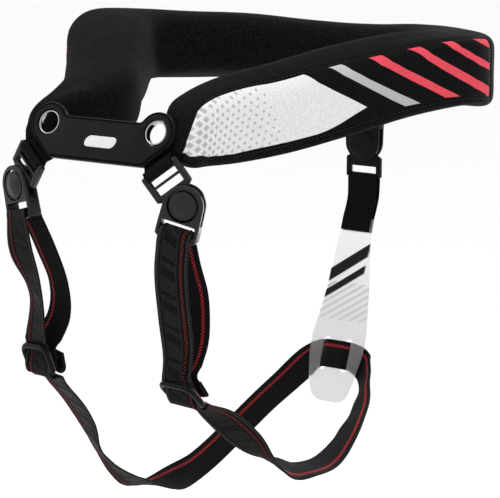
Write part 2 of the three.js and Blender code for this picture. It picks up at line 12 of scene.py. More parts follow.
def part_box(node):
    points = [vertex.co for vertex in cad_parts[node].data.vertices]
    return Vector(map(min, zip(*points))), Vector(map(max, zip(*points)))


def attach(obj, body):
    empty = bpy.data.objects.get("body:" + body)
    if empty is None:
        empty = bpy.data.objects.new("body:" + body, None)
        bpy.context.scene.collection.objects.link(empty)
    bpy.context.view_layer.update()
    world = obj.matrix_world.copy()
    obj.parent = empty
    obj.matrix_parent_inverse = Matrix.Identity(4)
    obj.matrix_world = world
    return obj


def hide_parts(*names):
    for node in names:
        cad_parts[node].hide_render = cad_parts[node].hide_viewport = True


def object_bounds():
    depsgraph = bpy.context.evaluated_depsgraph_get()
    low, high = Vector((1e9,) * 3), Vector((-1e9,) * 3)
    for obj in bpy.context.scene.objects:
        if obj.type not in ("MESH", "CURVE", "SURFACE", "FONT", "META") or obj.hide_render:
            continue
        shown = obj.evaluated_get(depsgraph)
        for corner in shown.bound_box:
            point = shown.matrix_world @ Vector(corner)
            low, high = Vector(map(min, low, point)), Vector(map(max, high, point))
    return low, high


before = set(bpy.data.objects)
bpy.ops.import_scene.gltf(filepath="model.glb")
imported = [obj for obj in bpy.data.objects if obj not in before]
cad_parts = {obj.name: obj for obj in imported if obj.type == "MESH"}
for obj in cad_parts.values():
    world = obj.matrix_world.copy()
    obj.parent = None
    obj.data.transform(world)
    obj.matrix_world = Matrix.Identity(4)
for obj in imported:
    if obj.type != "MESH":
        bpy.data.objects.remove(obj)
solid_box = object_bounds()

# Studio: a long lens at the height of the collar, a pale floor well below the straps, two soft boxes and
# an even white surround.
scene = bpy.context.scene
scene.view_settings.view_transform = "Standard"

CAMERA_PLACE = Vector((0.7017, -1.0794, 0.1755))
CAMERA_BACK = Vector((0.5327, -0.8203, 0.2079))
long_lens = bpy.data.cameras.new("long_lens")
long_lens.lens = 151.6
long_lens.sensor_width = 36
long_lens.clip_start = 0.01


def added(name, data):
    """A new object in the scene, at the origin."""
    thing = bpy.data.objects.new(name, data)
    scene.collection.objects.link(thing)
    return thing


camera = added("long_lens", long_lens)
camera.location = CAMERA_PLACE
camera.rotation_mode = "QUATERNION"
camera.rotation_quaternion = (-CAMERA_BACK).to_track_quat("-Z", "Y")
scene.camera = camera

surround = bpy.data.worlds.new("white_surround")
surround.use_nodes = True
surround.node_tree.nodes["Background"].inputs["Color"].default_value = (1, 1, 1, 1)
surround.node_tree.nodes["Background"].inputs["Strength"].default_value = 1.0
scene.world = surround


def soft_box(name, place, towards, size, power):
    lamp = bpy.data.lights.new(name, "AREA")
    lamp.shape = "RECTANGLE"
    lamp.size, lamp.size_y = size
    lamp.energy = power
    holder = added(name, lamp)
    holder.location = place
    holder.rotation_mode = "QUATERNION"
    holder.rotation_quaternion = (Vector(towards) - Vector(place)).to_track_quat("-Z", "Y")


soft_box("box_above", (-0.25, -0.15, 1.25), (0, 0, -0.05), (1.1, 0.9), 7)
soft_box("box_left", (-1.15, -1.0, 0.55), (0, -0.05, -0.08), (0.8, 0.9), 1.5)
soft_box("box_right", (1.35, -0.45, 0.5), (0, 0, -0.1), (0.5, 0.9), 1.5)
soft_box("panel_behind", (0.02, 1.05, -0.02), (0.02, -0.12, -0.05), (0.45, 0.9), 5.0)

FLOOR_DROP = 0.3
FLOOR_HALF = 40
floor_level = solid_box[0].z - FLOOR_DROP
floor_mesh = bpy.data.meshes.new("pale_floor")
floor_mesh.from_pydata(
    [(x * FLOOR_HALF, y * FLOOR_HALF, floor_level) for x, y in ((-1, -1), (1, -1), (1, 1), (-1, 1))],
    [], [(0, 1, 2, 3)])
floor = added("pale_floor", floor_mesh)
floor_paint = bpy.data.materials.new("floor_paint")
floor_paint.use_nodes = True
floor_shader = floor_paint.node_tree.nodes["Principled BSDF"]
floor_shader.inputs["Base Color"].default_value = (0.96, 0.96, 0.96, 1)
floor_shader.inputs["Roughness"].default_value = 0.9
floor_mesh.materials.append(floor_paint)

# Collar pad: a foam horseshoe in a stretch cover. A ribbed, printed panel is let in on each outer side, sewn
# along its top and bottom and whipped to the plain back at its rear end. The foam swells between the seams.
MM = 0.001

PAD_ROWS = [  # outer x, y; inner x, y; height of the top and bottom at the outer and inner wall
    (58, -147, 40, -145.5, -3, 2, -20, -19),
    (60, -141, 31, -134, 5, 14.6, -23.5, -22),
    (59, -125, 22, -107, 13, 18, -26.3, -21),
    (65, -103, 25, -80, 18, 23, -28, -18),
    (80, -81, 45, -48, 22, 30, -24.5, -12),
    (102, -51, 62, -19, 29, 36, -15, -13),
    (128, -15, 80, 12, 37, 41, -3.6, -8.5),
    (142, 22, 88, 30, 40, 41, -1, -5),
    (138, 60, 86, 44, 38.8, 40.2, -7, -2.5),
    (117, 93, 74, 58, 37.2, 38.7, -10, 0.5),
    (78, 122, 51, 77, 35.8, 38, -10, 0.5),
    (38, 136, 26, 88, 32.6, 35.6, -10, -1.5),
    (0, 140, 0, 92, 31.6, 34.6, -10, -2.5),
]
RIGHT_LEAN = {1: (0.5, 0), 2: (2, 1), 3: (3.5, 2), 4: (2, 1.5), 5: (1, 1.2), 6: (1.2, 2), 7: (1, 3.2),
              8: (0, 2)}  # row: out and up
PAD_ROUNDING = {"bottom_inner": 0.3, "top_inner": 0.34, "top_outer": 0.3, "bottom_outer": 0.3}
SHOULDER_TIGHT = [1, 1, 1, 1, 0.9, 0.75, 0.6, 0.55, 0.6, 0.7, 0.85, 1, 1]  # of the outer edges, by row
STATIONS_PER_ROW = 5
CORNER_STEPS = 4
SIDE_STEPS = 4


def curve_through(points, at):
    """Points on a smooth curve through a row of points, at shares of its length in rows."""
    points = np.asarray(points, float)
    points = np.vstack([2 * points[0] - points[1], points, 2 * points[-1] - points[-2]])
    spans = len(points) - 3
    place = np.clip(np.asarray(at, float), 0, 1) * spans
    span = np.minimum(place.astype(int), spans - 1)
    share = (place - span)[:, None]
    p0, p1, p2, p3 = (points[span + k] for k in range(4))
    d0, d1, d2 = (np.maximum(np.sqrt(np.linalg.norm(b - a, axis=1)), 1e-4)[:, None]
                  for a, b in ((p0, p1), (p1, p2), (p2, p3)))
    leave = ((p1 - p0) / d0 - (p2 - p0) / (d0 + d1) + (p2 - p1) / d1) * d1
    arrive = ((p2 - p1) / d1 - (p3 - p1) / (d1 + d2) + (p3 - p2) / d2) * d1
    bend = -3 * p1 + 3 * p2 - 2 * leave - arrive
    twist = 2 * p1 - 2 * p2 + leave + arrive
    return p1 + leave * share + bend * share**2 + twist * share**3


def distance_along(points):
    return np.concatenate([[0], np.cumsum(np.linalg.norm(np.diff(points, axis=0), axis=1))])


def pad_rings(at):
    """Rings of the pad, each from under the inner wall up over the top and down the outer face."""
    right = []
    for k, row in enumerate(PAD_ROWS[:-1]):
        outward, up = RIGHT_LEAN.get(k, (0, 0))
        right.append((-row[0] - outward, row[1], -row[2], row[3], row[4] + up, *row[5:]))
    rows = np.array(right + PAD_ROWS[::-1], float)
    edges = {
        "bottom_inner": curve_through(rows[:, [2, 3, 7]], at),
        "top_inner": curve_through(rows[:, [2, 3, 5]], at),
        "top_outer": curve_through(rows[:, [0, 1, 4]], at),
        "bottom_outer": curve_through(rows[:, [0, 1, 6]], at),
    }
    names = list(edges)
    tight = np.interp(at * (len(rows) - 1), np.arange(len(rows)), SHOULDER_TIGHT[:-1] + SHOULDER_TIGHT[::-1])
    rounding = {name: share * (tight if "outer" in name else np.ones(len(at)))
                for name, share in PAD_ROUNDING.items()}
    ring = []
    for k, name in enumerate(names):
        corner, before, after = edges[name], edges[names[k - 1]], edges[names[(k + 1) % 4]]
        start = corner + (before - corner) * rounding[name][:, None]
        end = corner + (after - corner) * rounding[name][:, None]
        for u in np.linspace(0, 1, CORNER_STEPS + 1):
            ring.append(start * (1 - u) ** 2 + 2 * corner * u * (1 - u) + end * u * u)
        reach = after + (corner - after) * rounding[names[(k + 1) % 4]][:, None]
        for u in np.linspace(0, 1, SIDE_STEPS + 1)[1:-1]:
            ring.append(end + (reach - end) * u)
    outer_line = (edges["top_outer"] + edges["bottom_outer"]) / 2
    return np.roll(np.stack(ring, 1), -(CORNER_STEPS // 2), axis=1), outer_line


RING_POINTS = 4 * (CORNER_STEPS + SIDE_STEPS)
TOP_INNER = CORNER_STEPS + SIDE_STEPS  # the ring's points on the top inner and the top outer edge
TOP_OUTER = 2 * TOP_INNER
pad_at = np.linspace(0, 1, (2 * len(PAD_ROWS) - 2) * STATIONS_PER_ROW + 1)
rings, outer_line = pad_rings(pad_at)
pad_along = distance_along(outer_line)
pad_length = pad_along[-1]

# The top is crowned, most over the shoulders, and each tip is a rounded nose.
CROWN = [(0, 0), (15, 0.4), (40, 1.6), (80, 3.4), (110, 4.5), (170, 3.8), (222, 2.2), (300, 2), (406, 1.5)]
NOSE = [(2.2, 0.86), (3.8, 0.6), (4.5, 0.28)]
crown = np.interp(np.minimum(pad_along, pad_length - pad_along), *zip(*CROWN))
over = np.interp(np.arange(RING_POINTS), [TOP_INNER - 5, TOP_INNER, TOP_INNER + 3, TOP_OUTER - 3, TOP_OUTER],
                 [0, 0.75, 1, 0.7, 0.1], left=0, right=0)
rings[:, :, 2] += crown[:, None] * over[None]
for end, inward in ((0, 1), (-1, -2)):
    middle = rings[end].mean(0)
    outward = middle - rings[inward].mean(0)
    outward /= np.linalg.norm(outward)
    tip = [middle + (rings[end] - middle) * size + outward * reach for reach, size in NOSE]
    tip_along = [pad_along[end] + (-reach if end == 0 else reach) for reach, _ in NOSE]
    if end == 0:
        rings, pad_along = np.concatenate([tip[::-1], rings]), np.concatenate([tip_along[::-1], pad_along])
    else:
        rings, pad_along = np.concatenate([rings, tip]), np.concatenate([pad_along, tip_along])
steps_round = np.linalg.norm(np.diff(np.concatenate([rings, rings[:, :1]], 1), axis=1), axis=2)
round_to = np.concatenate([np.zeros((len(rings), 1)), np.cumsum(steps_round, 1)], 1)
pad_down = round_to - round_to[:, [TOP_OUTER]]  # distance down from the top outer edge, minus over the top


def place_mesh(name, points, faces, uv=None, uv_name="cloth"):
    """A piece at the origin, its points in millimetres and its own flat map given per face corner."""
    mesh = bpy.data.meshes.new(name)
    mesh.from_pydata([tuple(p) for p in np.asarray(points, float) * MM], [], [tuple(f) for f in faces])
    if uv is not None:
        layer = mesh.uv_layers.new(name=uv_name)
        layer.data.foreach_set("uv", np.asarray(uv, np.float32).ravel())
    mesh.shade_smooth()
    return added(name, mesh)


def as_seen(piece):
    """A new mesh of a piece with all that its modifiers do."""
    bpy.context.view_layer.update()
    return bpy.data.meshes.new_from_object(piece.evaluated_get(bpy.context.evaluated_depsgraph_get()))


def plain_mesh(piece):
    """Turns a piece with its modifiers into a plain mesh."""
    made = as_seen(piece)
    piece.modifiers.clear()
    piece.data = made
    return piece


def mesh_points(mesh):
    points = np.zeros(len(mesh.vertices) * 3, np.float32)
    mesh.vertices.foreach_get("co", points)
    return points.reshape(-1, 3).astype(float)


stations = len(rings)
pad_faces, pad_uv = [], []
for i in range(stations - 1):
    for j in range(RING_POINTS):
        k = (j + 1) % RING_POINTS
        pad_faces.append((i * RING_POINTS + j, (i + 1) * RING_POINTS + j,
                          (i + 1) * RING_POINTS + k, i * RING_POINTS + k))
        pad_uv += [(pad_along[i], pad_down[i, j]), (pad_along[i + 1], pad_down[i + 1, j]),
                   (pad_along[i + 1], pad_down[i + 1, j + 1]), (pad_along[i], pad_down[i, j + 1])]
for i, turn in ((0, 1), (stations - 1, -1)):
    order = range(RING_POINTS)[::turn]
    pad_faces.append([i * RING_POINTS + j for j in order])
    pad_uv += [(pad_along[i], pad_down[i, j]) for j in order]

# The seams that hold the cover down, as places on the ring and along the pad.
SEAM_TOP = TOP_OUTER - 1
SEAM_BOTTOM = TOP_OUTER + CORNER_STEPS // 2 + SIDE_STEPS
WHIPPED_AT = 226.0
whipped = [int(np.abs(pad_along - a).argmin()) for a in (WHIPPED_AT, pad_length - WHIPPED_AT)]
sewn = [i * RING_POINTS + j for i in range(stations) for j in (SEAM_TOP, SEAM_BOTTOM)]
sewn += [i * RING_POINTS + j for i in whipped for j in range(SEAM_TOP, SEAM_BOTTOM + 3)]
sewn += [i * RING_POINTS + j for i in (0, stations - 1) for j in range(RING_POINTS)]

PAD_SHRINK = 1.3
centres = rings.mean(1, keepdims=True)
reach = np.linalg.norm(rings - centres, axis=2, keepdims=True)
slack = rings - (rings - centres) / reach * np.minimum(PAD_SHRINK, reach * 0.2)
collar_cover = place_mesh("collar_cover", slack.reshape(-1, 3), pad_faces, pad_uv)

SWELL_FRAMES = 16
SWELL_CAP = 4.0
STRETCH_CLOTH = {"quality": 6, "mass": 0.25, "tension_stiffness": 25, "compression_stiffness": 25,
                 "bending_stiffness": 4, "use_pressure": True, "uniform_pressure_force": 3.5}
held = collar_cover.vertex_groups.new(name="sewn")
held.add(sorted(set(sewn)), 1.0, "REPLACE")
before = mesh_points(collar_cover.data)
swell = collar_cover.modifiers.new("swell", "CLOTH")
for setting, value in STRETCH_CLOTH.items():
    setattr(swell.settings, setting, value)
swell.settings.vertex_group_mass = "sewn"
swell.settings.effector_weights.gravity = 0
for tick in range(1, SWELL_FRAMES + 1):
    scene.frame_set(tick)
plain_mesh(collar_cover)
scene.frame_set(1)
moved = mesh_points(collar_cover.data) - before
far = np.linalg.norm(moved, axis=1, keepdims=True) / MM
moved *= np.minimum(1, SWELL_CAP / np.maximum(far, 1e-6))
collar_cover.data.vertices.foreach_set("co", (before + moved).astype(np.float32).ravel())

smoother = collar_cover.modifiers.new("smoother", "SUBSURF")
smoother.levels = smoother.render_levels = 2
smoother.boundary_smooth = "PRESERVE_CORNERS"
plain_mesh(collar_cover)

# The print and the seams are laid out on the flat panel: distance back from the tip, distance down.
PRINT_LEAF = [
    (-3.9, 3.4), (-0.9, 0.1), (4.9, -2), (13.6, -5.3), (22.9, -6.3), (32.8, -6.7), (41.5, -6.7), (49.1, -6.5),
    (56.6, -6), (63.2, -5.1), (71.5, -5.1), (78.4, -5.4), (83.8, -5.8), (107.8, -5.9), (150, -5), (150, 16.8),
    (122, 25.8), (114.2, 28.3), (106, 31.3), (97.8, 33.5), (91.7, 34.3), (82.3, 34.2), (69.9, 34),
    (59.1, 33.9), (48.1, 33.5), (39.1, 33.0), (29.2, 31.2), (17.3, 26.4), (4.9, 17.4), (-1.2, 9.1)]
LEAF_BACK = [(-60, -60), (42, -60), (83.8, -5.8), (92.1, 3.6), (101.4, 10.8), (111.2, 17.8), (122, 25.8),
             (140, 39), (140, 90), (-60, 90)]
STRIPES = {  # the rear and the front edge of each stripe
    "silver": [([(107.8, -5.7), (113.6, 1.4), (122.5, 8.7), (132.4, 15.7), (144, 23.7), (157.3, 32)],
                [(99.3, -6.6), (107.7, 3), (118.3, 11.1), (128.1, 18.4), (138.2, 25.8), (147, 31.6)])],
    "red": [([(133.2, -5), (138.7, 2.6), (146.7, 8.8), (159, 16.7), (172, 24.7), (187.5, 32.9)],
             [(125.4, -5.1), (131.5, 2.8), (139.5, 8.8), (151.3, 17.2), (163.9, 25), (175.4, 31.8)]),
            ([(158.9, -4.1), (165.5, 3.9), (175.1, 10), (188, 17.1), (203.2, 24.1), (225.3, 30.8)],
             [(151.2, -3.9), (162, 6.8), (173.5, 14.6), (186.2, 22), (202, 29.6), (224.2, 36.6)]),
            ([(183.4, -4.7), (188.5, 2.8), (201.2, 9), (217.5, 13.9), (225.3, 15.9)],
             [(176.3, -4.1), (181, 2.8), (191.8, 9.1), (207.1, 15.5), (226, 20.3)]),
            ([(213, -9), (230, -7)], [(204.9, -2), (209.1, 1.7), (217.9, 4.6), (225, 6)])],
}
STRIPE_TOPS = [(83.8, -5.8), (107.8, -5.9), (133.2, -5.0), (158.9, -4.1), (183.4, -4.4), (204.9, -2.4),
               (226, -0.6)]
STRIPE_FEET = [(130, 31.2), (147, 31.6), (157.3, 32), (175.4, 31.8), (187.5, 32.9), (226, 38)]
PANEL = [
    (12.6, -6.6), (23.6, -7.2), (33.6, -7.7), (49.6, -7.5), (63.5, -6.6), (78.6, -6.9), (99.7, -7.4),
    (125.9, -6.5), (152.1, -5.7), (177.6, -5.7), (208.6, -4), (226, -2.5), (226, 37.7), (195.1, 34.4),
    (175.1, 33.6), (146.8, 33.6), (129.9, 34.2), (111.7, 35), (91.6, 35.6), (82.2, 35.6), (59.1, 35.3),
    (39.3, 34.6), (17.2, 28.4), (4.9, 19.2), (-1.2, 10.6), (-4.1, 4.6), (-1.1, -1.2), (4.9, -3.4)]
PANEL_REAR = 225.6  # the print stops just short of the whipped seam


def inside(points, outline):
    """How far inside an outline each flat point lies, minus outside."""
    outline = np.asarray(outline, float)
    nearest = np.full(len(points), 1e9)
    within = np.zeros(len(points), bool)
    for a, b in zip(outline, np.roll(outline, -1, axis=0)):
        line = b - a
        share = np.clip((points - a) @ line / (line @ line), 0, 1)
        nearest = np.minimum(nearest, np.linalg.norm(points - a - share[:, None] * line, axis=1))
        crosses = (a[1] > points[:, 1]) != (b[1] > points[:, 1])
        at_x = a[0] + (points[:, 1] - a[1]) * line[0] / (line[1] if abs(line[1]) > 1e-9 else 1e-9)
        within ^= crosses & (points[:, 0] < at_x)
    return np.where(within, nearest, -nearest)


def stretched(line, reach=10.0):
    """A line carried on straight past both its ends."""
    line = np.asarray(line, float)
    first, last = line[0] - line[1], line[-1] - line[-2]
    return [line[0] + first / np.linalg.norm(first) * reach, *line,
            line[-1] + last / np.linalg.norm(last) * reach]


def flat_places(mesh, layer):
    """Each vertex's place on the piece's flat map."""
    corners = np.zeros(len(mesh.loops), np.int32)
    mesh.loops.foreach_get("vertex_index", corners)
    flat = np.zeros(len(mesh.loops) * 2, np.float32)
    mesh.uv_layers[layer].data.foreach_get("uv", flat)
    places = np.zeros((len(mesh.vertices), 2))
    places[corners] = flat.reshape(-1, 2)
    return places


cover = collar_cover.data
places = flat_places(cover, "cloth")
panel_places = np.column_stack([np.minimum(places[:, 0], pad_length - places[:, 0]), places[:, 1]])
RIGHT_FOOT, RIGHT_SHARE = 35.6, 0.62  # the right panel ends as low and is this much as high
on_right = places[:, 0] < pad_length / 2
panel_places[on_right, 1] = RIGHT_FOOT - (RIGHT_FOOT - panel_places[on_right, 1]) / RIGHT_SHARE
print_fields = {
    "leaf": inside(panel_places, PRINT_LEAF),
    "leaf_back": inside(panel_places, LEAF_BACK),
    "ends": np.min([panel_places[:, 1] - np.interp(panel_places[:, 0], *zip(*STRIPE_TOPS)),
                    np.interp(panel_places[:, 0], *zip(*STRIPE_FEET)) - panel_places[:, 1],
                    PANEL_REAR - panel_places[:, 0]], axis=0),
    "panel": inside(panel_places, PANEL),
}
for colour, stripes in STRIPES.items():
    print_fields[colour] = np.max([inside(panel_places, stretched(rear) + stretched(front)[::-1])
                                   for rear, front in stripes], axis=0)
for field, values in print_fields.items():
    cover.attributes.new(field, "FLOAT", "POINT").data.foreach_set("value", values.astype(np.float32))

# Seams pull the cover in, and the inner wall of the back creases a little where the horseshoe turns.
SEAM_DEPTH, SEAM_WIDTH = 0.9, 1.6
CREASES = [  # place along and down, lean, length, depth
    (300, -72, 0.75, 11, 1.8), (322, -68, 0.7, 10, 1.6), (282, -70, 0.9, 13, 1.4), (345, -66, 0.6, 9, 1.2)]
CREASE_WIDTH = 3.2


def facings(mesh):
    normals = np.zeros(len(mesh.vertices) * 3, np.float32)
    mesh.vertex_normals.foreach_get("vector", normals)
    return normals.reshape(-1, 3)


normals = facings(cover)
near_tip = np.clip((panel_places[:, 0] - 4) / 20, 0.15, 1)
pull = -SEAM_DEPTH * near_tip * np.exp(-(print_fields["panel"] / SEAM_WIDTH) ** 2)
for back, down, lean, length, depth in CREASES:
    for side in (1, -1):
        off_along = side * (places[:, 0] - pad_length / 2) - (pad_length / 2 - back)
        off_down = places[:, 1] - down
        across = off_along * math.cos(lean) + off_down * math.sin(lean)
        run = -off_along * math.sin(lean) + off_down * math.cos(lean)
        pull -= depth * np.exp(-((across / CREASE_WIDTH) ** 2) - (run / length) ** 2)
shaped = mesh_points(cover) + normals * pull[:, None] * MM
cover.vertices.foreach_set("co", shaped.astype(np.float32).ravel())
cover.update()


def finish_of(name, colour, roughness, sockets=None):
    """A new material and its shader, with the numbers that hold all over the surface."""
    paint = bpy.data.materials.new(name)
    paint.use_nodes = True
    shader = paint.node_tree.nodes["Principled BSDF"]
    shader.inputs["Base Color"].default_value = (*colour, 1)
    shader.inputs["Roughness"].default_value = roughness
    for socket, value in (sockets or {}).items():
        shader.inputs[socket].default_value = value
    return paint, shader


def put(tree, kind, *values, output=0, **settings):
    """Adds a node, sets or links its inputs in order, and returns one of its outputs."""
    node = tree.nodes.new(kind)
    for setting, value in settings.items():
        setattr(node, setting, value)
    for socket, value in zip(node.inputs, values):
        if isinstance(value, bpy.types.NodeSocket):
            tree.links.new(value, socket)
        elif value is not None:
            socket.default_value = value
    return node.outputs[output]


def sum_of(tree, how, *values, clamp=False):
    return put(tree, "ShaderNodeMath", *values, operation=how, use_clamp=clamp)


def colour_between(tree, share, first, second):
    node = tree.nodes.new("ShaderNodeMix")
    node.data_type = "RGBA"
    for socket, value in ((node.inputs[0], share), (node.inputs[6], first), (node.inputs[7], second)):
        if isinstance(value, bpy.types.NodeSocket):
            tree.links.new(value, socket)
        else:
            socket.default_value = value if socket is node.inputs[0] else (*value, 1)
    return node.outputs[2]


def ramp(tree, value, low, high, start=0.0, end=1.0):
    return put(tree, "ShaderNodeMapRange", value, low, high, start, end)


def field_edge(tree, *fields, softness=0.12):
    """One inside a printed shape and nought outside it. A shape with corners is what its fields share."""
    values = [put(tree, "ShaderNodeAttribute", output=2, attribute_name=field) for field in fields]
    value = values[0] if len(values) == 1 else sum_of(tree, "MINIMUM", *values)
    return ramp(tree, value, -softness, softness)


def flat_map(tree, layer):
    """The two directions of a piece's own flat map, in millimetres."""
    node = tree.nodes.new("ShaderNodeSeparateXYZ")
    tree.links.new(put(tree, "ShaderNodeUVMap", uv_map=layer), node.inputs[0])
    return node.outputs[0], node.outputs[1]


def uneven(tree, lumps, detail, roughness):
    """Noise that is fixed to the piece, with so many lumps in a metre."""
    place = put(tree, "ShaderNodeTexCoord", output=3)
    return put(tree, "ShaderNodeTexNoise", place, None, lumps, detail, roughness)


def wave(tree, value, period):
    """Rises and falls between nought and one once in each period."""
    turn = sum_of(tree, "MULTIPLY", value, 2 * math.pi / period)
    return sum_of(tree, "MULTIPLY_ADD", sum_of(tree, "SINE", turn), 0.5, 0.5)


def relief(tree, shader, height, depth_mm, strength=1.0):
    node = tree.nodes.new("ShaderNodeBump")
    node.inputs["Strength"].default_value = strength
    node.inputs["Distance"].default_value = depth_mm * MM
    tree.links.new(height, node.inputs["Height"])
    tree.links.new(node.outputs["Normal"], shader.inputs["Normal"])


COVER_BLACK = (0.0002, 0.0002, 0.0002)
COVER_WORN = (0.0095, 0.0095, 0.0096)
FLECKS = 1050.0  # in a metre: the yarns of the knit catch the light unevenly
# The printed panel's black: its lighter colour is on the rib crests and random yarn flecks, and the darker
# rib hollows are painted shade.
PANEL_BLACK = (0.0028, 0.0028, 0.0029)
PANEL_FLECKS_AND_LIT_RIBS = (0.0085, 0.0085, 0.0087)
PRINT_WHITE = (0.78, 0.78, 0.79)
# Darker white of the leaf print: painted shade in the rib hollows, and darker yarn flecks.
LEAF_RIB_SHADE_AND_DARK_FLECKS = (0.61, 0.61, 0.62)
PRINT_GREY = (0.42, 0.42, 0.425)
SILVER, SILVER_LOW = (0.46, 0.46, 0.47), (0.40, 0.40, 0.41)
RED = (0.645, 0.050, 0.078)
RED_LIGHT = (0.76, 0.115, 0.145)
HALFTONE = (7.45, 4.55)  # between dots in a row along the front of the panel, and between rows
DOT_PHASE = (-0.18, -0.01)
ROW_FALL, COLUMN_LEAN, FADE_LEAN = -0.085, 0.22, -0.3
PANEL_RUN = (0.316, 0.949)
RIB_PITCH = 1.05
KNIT_PITCH = 0.62

printed_cover, shader = finish_of("printed_cover", COVER_BLACK, 0.82,
                                  {"Specular IOR Level": 0.03, "Sheen Weight": 0.002, "Sheen Roughness": 0.4})
tree = printed_cover.node_tree
along, down = flat_map(tree, "cloth")
panel = field_edge(tree, "panel", softness=0.25)
mottle = uneven(tree, 45.0, 3.0, 0.55)
fleck = ramp(tree, uneven(tree, FLECKS, 2.0, 0.65), 0.4, 0.6)
rubbed = sum_of(tree, "MULTIPLY_ADD", mottle, 0.35, sum_of(tree, "MULTIPLY", fleck, 0.75))
plain = colour_between(tree, rubbed, COVER_BLACK, COVER_WORN)
rib = wave(tree, along, RIB_PITCH)
knit = sum_of(tree, "MULTIPLY", wave(tree, along, KNIT_PITCH), wave(tree, down, KNIT_PITCH * 1.3))
# The panel's black is darker in the rib hollows, a painted shade, and is flecked at random by its yarns.
panel_flecks_and_rib_shade = sum_of(tree, "MULTIPLY", rib, ramp(tree, fleck, 0.0, 1.0, 0.35, 1.65))
panel_black = colour_between(tree, panel_flecks_and_rib_shade, PANEL_BLACK, PANEL_FLECKS_AND_LIT_RIBS)
cloth_colour = colour_between(tree, panel, plain, panel_black)

halves = tree.nodes.new("ShaderNodeSeparateXYZ")
tree.links.new(put(tree, "ShaderNodeTexCoord", output=3), halves.inputs[0])
aside = sum_of(tree, "MULTIPLY", sum_of(tree, "ABSOLUTE", halves.outputs[0]), PANEL_RUN[0] / MM)
run_back = sum_of(tree, "MULTIPLY_ADD", halves.outputs[1], PANEL_RUN[1] / MM, aside)
drop = sum_of(tree, "MULTIPLY", halves.outputs[2], -1 / MM)
row = sum_of(tree, "MULTIPLY_ADD", run_back, ROW_FALL, drop)
column = sum_of(tree, "MULTIPLY_ADD", row, COLUMN_LEAN, run_back)
column = sum_of(tree, "ADD", column, ramp(tree, column, -120.0, -100.0, 8.0, 0.0))
lattices = []
for offset in (0.0, 0.5):
    sides = []
    for value, pitch, slim, phase in zip((column, row), HALFTONE, (1.3, 0.78), DOT_PHASE):
        cell = sum_of(tree, "FRACT", sum_of(tree, "MULTIPLY_ADD", value, 1 / pitch, 20.0 + offset + phase))
        middle = sum_of(tree, "ABSOLUTE", sum_of(tree, "SUBTRACT", cell, 0.5))
        sides.append(sum_of(tree, "MULTIPLY", middle, slim))
    lattices.append(sum_of(tree, "ADD", *sides))
nearest_dot = sum_of(tree, "MINIMUM", *lattices)
fade = sum_of(tree, "MULTIPLY_ADD", row, FADE_LEAN, run_back)
dot_size = sum_of(tree, "ADD", ramp(tree, fade, -104.0, -59.0, 0.245, 0.14),
                  ramp(tree, fade, -110.0, -102.0, 0.075, 0.0))
gone = ramp(tree, fade, -59.1, -58.5, 0.0, 1.0)
dot_reach = sum_of(tree, "SUBTRACT", sum_of(tree, "SUBTRACT", dot_size, gone), nearest_dot)
dots = ramp(tree, dot_reach, -0.02, 0.02)
# The leaf's white darkens at random yarn flecks and in the rib hollows, where the darkening is painted shade.
leaf_flecks_and_rib_shade = sum_of(tree, "MULTIPLY_ADD", fleck, 0.7, sum_of(tree, "MULTIPLY", rib, 0.3))
leaf_white = colour_between(tree, leaf_flecks_and_rib_shade, LEAF_RIB_SHADE_AND_DARK_FLECKS, PRINT_WHITE)
leaf_colour = colour_between(tree, dots, leaf_white, PRINT_GREY)
cloth_colour = colour_between(tree, field_edge(tree, "leaf", "leaf_back"), cloth_colour, leaf_colour)
silver_colour = colour_between(tree, ramp(tree, down, -4, 30), SILVER, SILVER_LOW)
cloth_colour = colour_between(tree, field_edge(tree, "silver", "ends"), cloth_colour, silver_colour)
speckle = sum_of(tree, "MULTIPLY", rib, wave(tree, down, 1.3))
red_yarn = sum_of(tree, "MULTIPLY_ADD", fleck, 0.4, sum_of(tree, "MULTIPLY", speckle, 0.5))
red_colour = colour_between(tree, red_yarn, RED, RED_LIGHT)
cloth_colour = colour_between(tree, field_edge(tree, "red", "ends"), cloth_colour, red_colour)
tree.links.new(cloth_colour, shader.inputs["Base Color"])
weave = put(tree, "ShaderNodeMix", panel, None, knit, rib)
tree.links.new(ramp(tree, mottle, 0.3, 0.7, 0.74, 0.88), shader.inputs["Roughness"])
relief(tree, shader, weave, 0.10, 0.6)


def stands_for(piece, slot, *nodes, finish=None):
    """The piece moves with the collar, takes the finish when one is given and is shown in place of the
    solids; the slot is not used.
    """
    if finish:
        piece.data.materials.clear()
        piece.data.materials.append(finish)
    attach(piece, "root")
    if nodes:
        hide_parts(*nodes)


stands_for(collar_cover, "fabric", "collar_pad", finish=printed_cover)

# Seams of the pad: a row of short black stitches holds the printed panel's top and bottom edges, and its rear
# edge is whipped over to the plain back with long slanted stitches.
SEAM_INSET = 1.0


